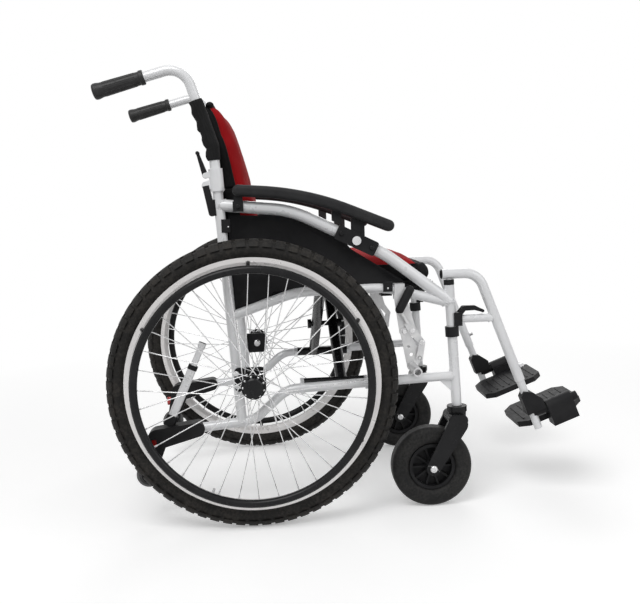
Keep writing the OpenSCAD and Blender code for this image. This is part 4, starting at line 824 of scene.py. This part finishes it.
for side, s in SIDES:
    out = Vector((0, s, 0))
    spot = lambda x, y, z, s=s: at(x, s * y, z)

    def bead(end, away, r, across, wide):
        path, radii = weld(end, away, r, across, wide)
        return tube_skin([spot(e[0] + d.x, FRAME_Y + d.y, e[1] + d.z) for e, d in path], radii, 7, True)

    hardware(side + "_frame_welds", [bead(*w) for w in WELDS], SILVER, side + "_frame", "silver_paint")
    plug = rivet(spot(416.4, FRAME_Y, 513.5), (-1, 0, 0), 0.0214, 0.004)
    hardware(side + "_hanger_plug", [plug], MOULDED, side + "_hanger", "black_moulding")
    hardware(side + "_hanger_weld", [bead((533.0, 414.0), (-1, 0), 9.0, LEG, 11.0)], SILVER, side + "_hanger",
             "silver_paint")
    screws = [socket_screw(spot(cane_x(z), 248.2, z), out, 0.0124, 0.0052) for z in (TYRE_R - 14, TYRE_R + 14)]
    screws.append(socket_screw(spot(0, 242.2, TYRE_R), -out, 0.019, 0.007))
    screws.append(rivet(spot(344.5, 257.2, 396), out, 0.011, 0.0012))
    screws.append(rivet(spot(328, 252.8, 394), out, 0.011, 0.0012))
    hardware(side + "_frame_screws", screws, STEEL, side + "_frame", "bright_steel")
    dark = [socket_screw(spot(231 + k * ARM_SLOPE[0], 250, 594.3 + k * ARM_SLOPE[1]), out, 0.0112, 0.0036)
            for k in (-36, 36)]
    dark.append(socket_screw(spot(-17, 249.4, 675.8), out, 0.0112, 0.0042))
    hardware(side + "_dark_screws", dark, COATED, side + "_frame", "black_coat")
    rivets = [rivet(spot(-39.6, 243, 634), out, 0.0036, 0.0009)]
    rivets.append(rivet(spot(296, 244.5, 489), out, 0.0042, 0.001))
    hardware(side + "_clip_rivets", rivets, STEEL, side + "_frame", "bright_steel")
    hardware(side + "_link_rivets", [rivet(spot(364.9, 260.8, 370), out, 0.0105, 0.0012)], STEEL,
             side + "_brake_link", "bright_steel")
    castor_ends = [socket_screw(spot(CASTOR[0], FRAME_Y + k * 34, CASTOR[1]), out * k, 0.0166, 0.0062)
                   for k in (-1, 1)]
    hardware(side + "_castor_screws", castor_ends, STEEL, side + "_castor_fork", "bright_steel")

    nipples, heads = [], []
    wheel = lambda r, a, z: spot(r * math.cos(a), WHEEL_Y + z, TYRE_R - r * math.sin(a))
    for k in range(SPOKES):
        flange = 1 if k % 2 == 0 else -1
        lean = 1 if k // 2 % 2 == 0 else -1
        step = 360 / SPOKES * k
        rim_at, hub_at = math.radians(step), math.radians(step + lean * LACING)
        tip, root = wheel(NIPPLE_R, rim_at, flange * 3), wheel(FLANGE_R, hub_at, flange * FLANGE_Y + lean * 2.6)
        along = (root - tip).normalized()
        path = [tip + along * far for far in (-0.0006, 0.0012, 0.0016, 0.009, 0.0102)]
        nipples.append(tube_skin(path, [0.0026, 0.0026, 0.0019, 0.0018, 0.0013], 8))
        heads.append(rivet(wheel(FLANGE_R, hub_at, flange * FLANGE_Y + lean * 4.0), out * lean, 0.0046, 0.0014))
    hardware(side + "_spoke_nipples", nipples, ZINC, side + "_wheel", "bright_steel")
    hardware(side + "_spoke_heads", heads, STEEL, side + "_wheel", "bright_steel")

    ribs = []
    across = Vector((-GRIP_DIR[1], 0, GRIP_DIR[0]))
    for k in range(14):
        a = math.tau * k / 14
        path, radii = [], []
        for i in range(64):
            far = 24 + 68 * i / 63
            r = 15.3 - 1.3 * max(0.0, (far - 24) / 76) + 0.1
            p = Vector((GRIP_END[0] + GRIP_DIR[0] * far, FRAME_Y, GRIP_END[1] + GRIP_DIR[1] * far))
            p += (across * math.cos(a) + Vector((0, math.sin(a), 0))) * r
            path.append(spot(p.x, p.y, p.z))
            radii.append(0.0007 if 0 < i < 63 and i % 4 < 3 else 0.0003)
        ribs.append(tube_skin(path, radii, 6))
    hardware(side + "_grip_ribs", ribs, GRIP, side + "_back", "grip_rubber")

# Stage, light and camera

AMBIENT = 0.34
FLOOR_LIFT = 0.30
YAW, PITCH, ROLL = -0.058066138, -0.114672545, 0.0374350452
CAMERA_AT = (0.0453769 - MID_X / 1000, -2.01441814, 0.67001094)
SENSOR, FOCAL_SHARE = 36, 831.196 / 640


def seen(tree):
    """1 for rays from the camera and for what gloss and glass show of the surroundings, else 0."""
    path = tree.nodes.new("ShaderNodeLightPath")
    shown = math_node(tree, "MAXIMUM", path.outputs["Is Camera Ray"], path.outputs["Is Glossy Ray"])
    return math_node(tree, "MAXIMUM", shown, path.outputs["Is Transmission Ray"])


def make_stage():
    """White floor that keeps the shadow near the part and fades into the white surroundings."""
    mesh = bpy.data.meshes.new("floor")
    bm = bmesh.new()
    bmesh.ops.create_grid(bm, x_segments=1, y_segments=1, size=12.0)
    bm.to_mesh(mesh)
    bm.free()
    floor = bpy.data.objects.new("floor", mesh)
    bpy.context.scene.collection.objects.link(floor)
    floor.location.z = -0.0005
    mat, tree, shader, place = new_material("floor_white")
    reach = tree.nodes.new("ShaderNodeVectorMath")
    reach.operation = "LENGTH"
    tree.links.new(place, reach.inputs[0])
    far = remap(tree, reach.outputs["Value"], 0.0, 1.0, 0.9, 2.2)
    tree.links.new(mix_colour(tree, far, (0.93, 0.93, 0.93), (0.0, 0.0, 0.0)), shader.inputs["Base Color"])
    shader.inputs["Roughness"].default_value = 0.55
    shader.inputs["Specular IOR Level"].default_value = 0.0
    shader.inputs["Emission Color"].default_value = (1, 1, 1, 1)
    lift = remap(tree, far, FLOOR_LIFT, 1.0, 0.0, 1.0)
    tree.links.new(math_node(tree, "MULTIPLY", lift, seen(tree)), shader.inputs["Emission Strength"])
    mesh.materials.append(mat)
    world = bpy.data.worlds.new("studio")
    bpy.context.scene.world = world
    world.use_nodes = True
    tree = world.node_tree
    back = tree.nodes["Background"]
    back.inputs["Color"].default_value = (1, 1, 1, 1)
    tree.links.new(remap(tree, seen(tree), AMBIENT, 1.0, 0.0, 1.0), back.inputs["Strength"])


def area(name, place, target, size, power):
    light = bpy.data.lights.new(name, "AREA")
    light.shape = "SQUARE"
    light.size = size
    light.energy = power
    obj = bpy.data.objects.new(name, light)
    bpy.context.scene.collection.objects.link(obj)
    obj.location = place
    obj.rotation_euler = (Vector(target) - Vector(place)).to_track_quat("-Z", "Y").to_euler()


def make_camera():
    turn = Matrix.Rotation(YAW, 3, "Z") @ Matrix.Rotation(PITCH, 3, "X") @ Matrix.Rotation(ROLL, 3, "Y")
    right, forward, up = turn.col[0], turn.col[1], turn.col[2]
    data = bpy.data.cameras.new("camera")
    data.sensor_width = SENSOR
    data.lens = FOCAL_SHARE * SENSOR
    cam = bpy.data.objects.new("camera", data)
    bpy.context.scene.collection.objects.link(cam)
    pose = Matrix((right, up, -forward)).transposed().to_4x4()
    pose.translation = Vector(CAMERA_AT)
    cam.matrix_world = pose
    bpy.context.scene.camera = cam


make_stage()
area("key", (-1.0, -2.0, 3.0), (0, 0, 0.4), 1.8, 50)
area("fill", (2.2, -1.8, 1.8), (0, 0, 0.5), 2.0, 14)
area("rear", (0.3, 2.4, 2.4), (0, 0, 0.5), 2.0, 24)
make_camera()
bpy.context.scene.view_settings.view_transform = "Standard"
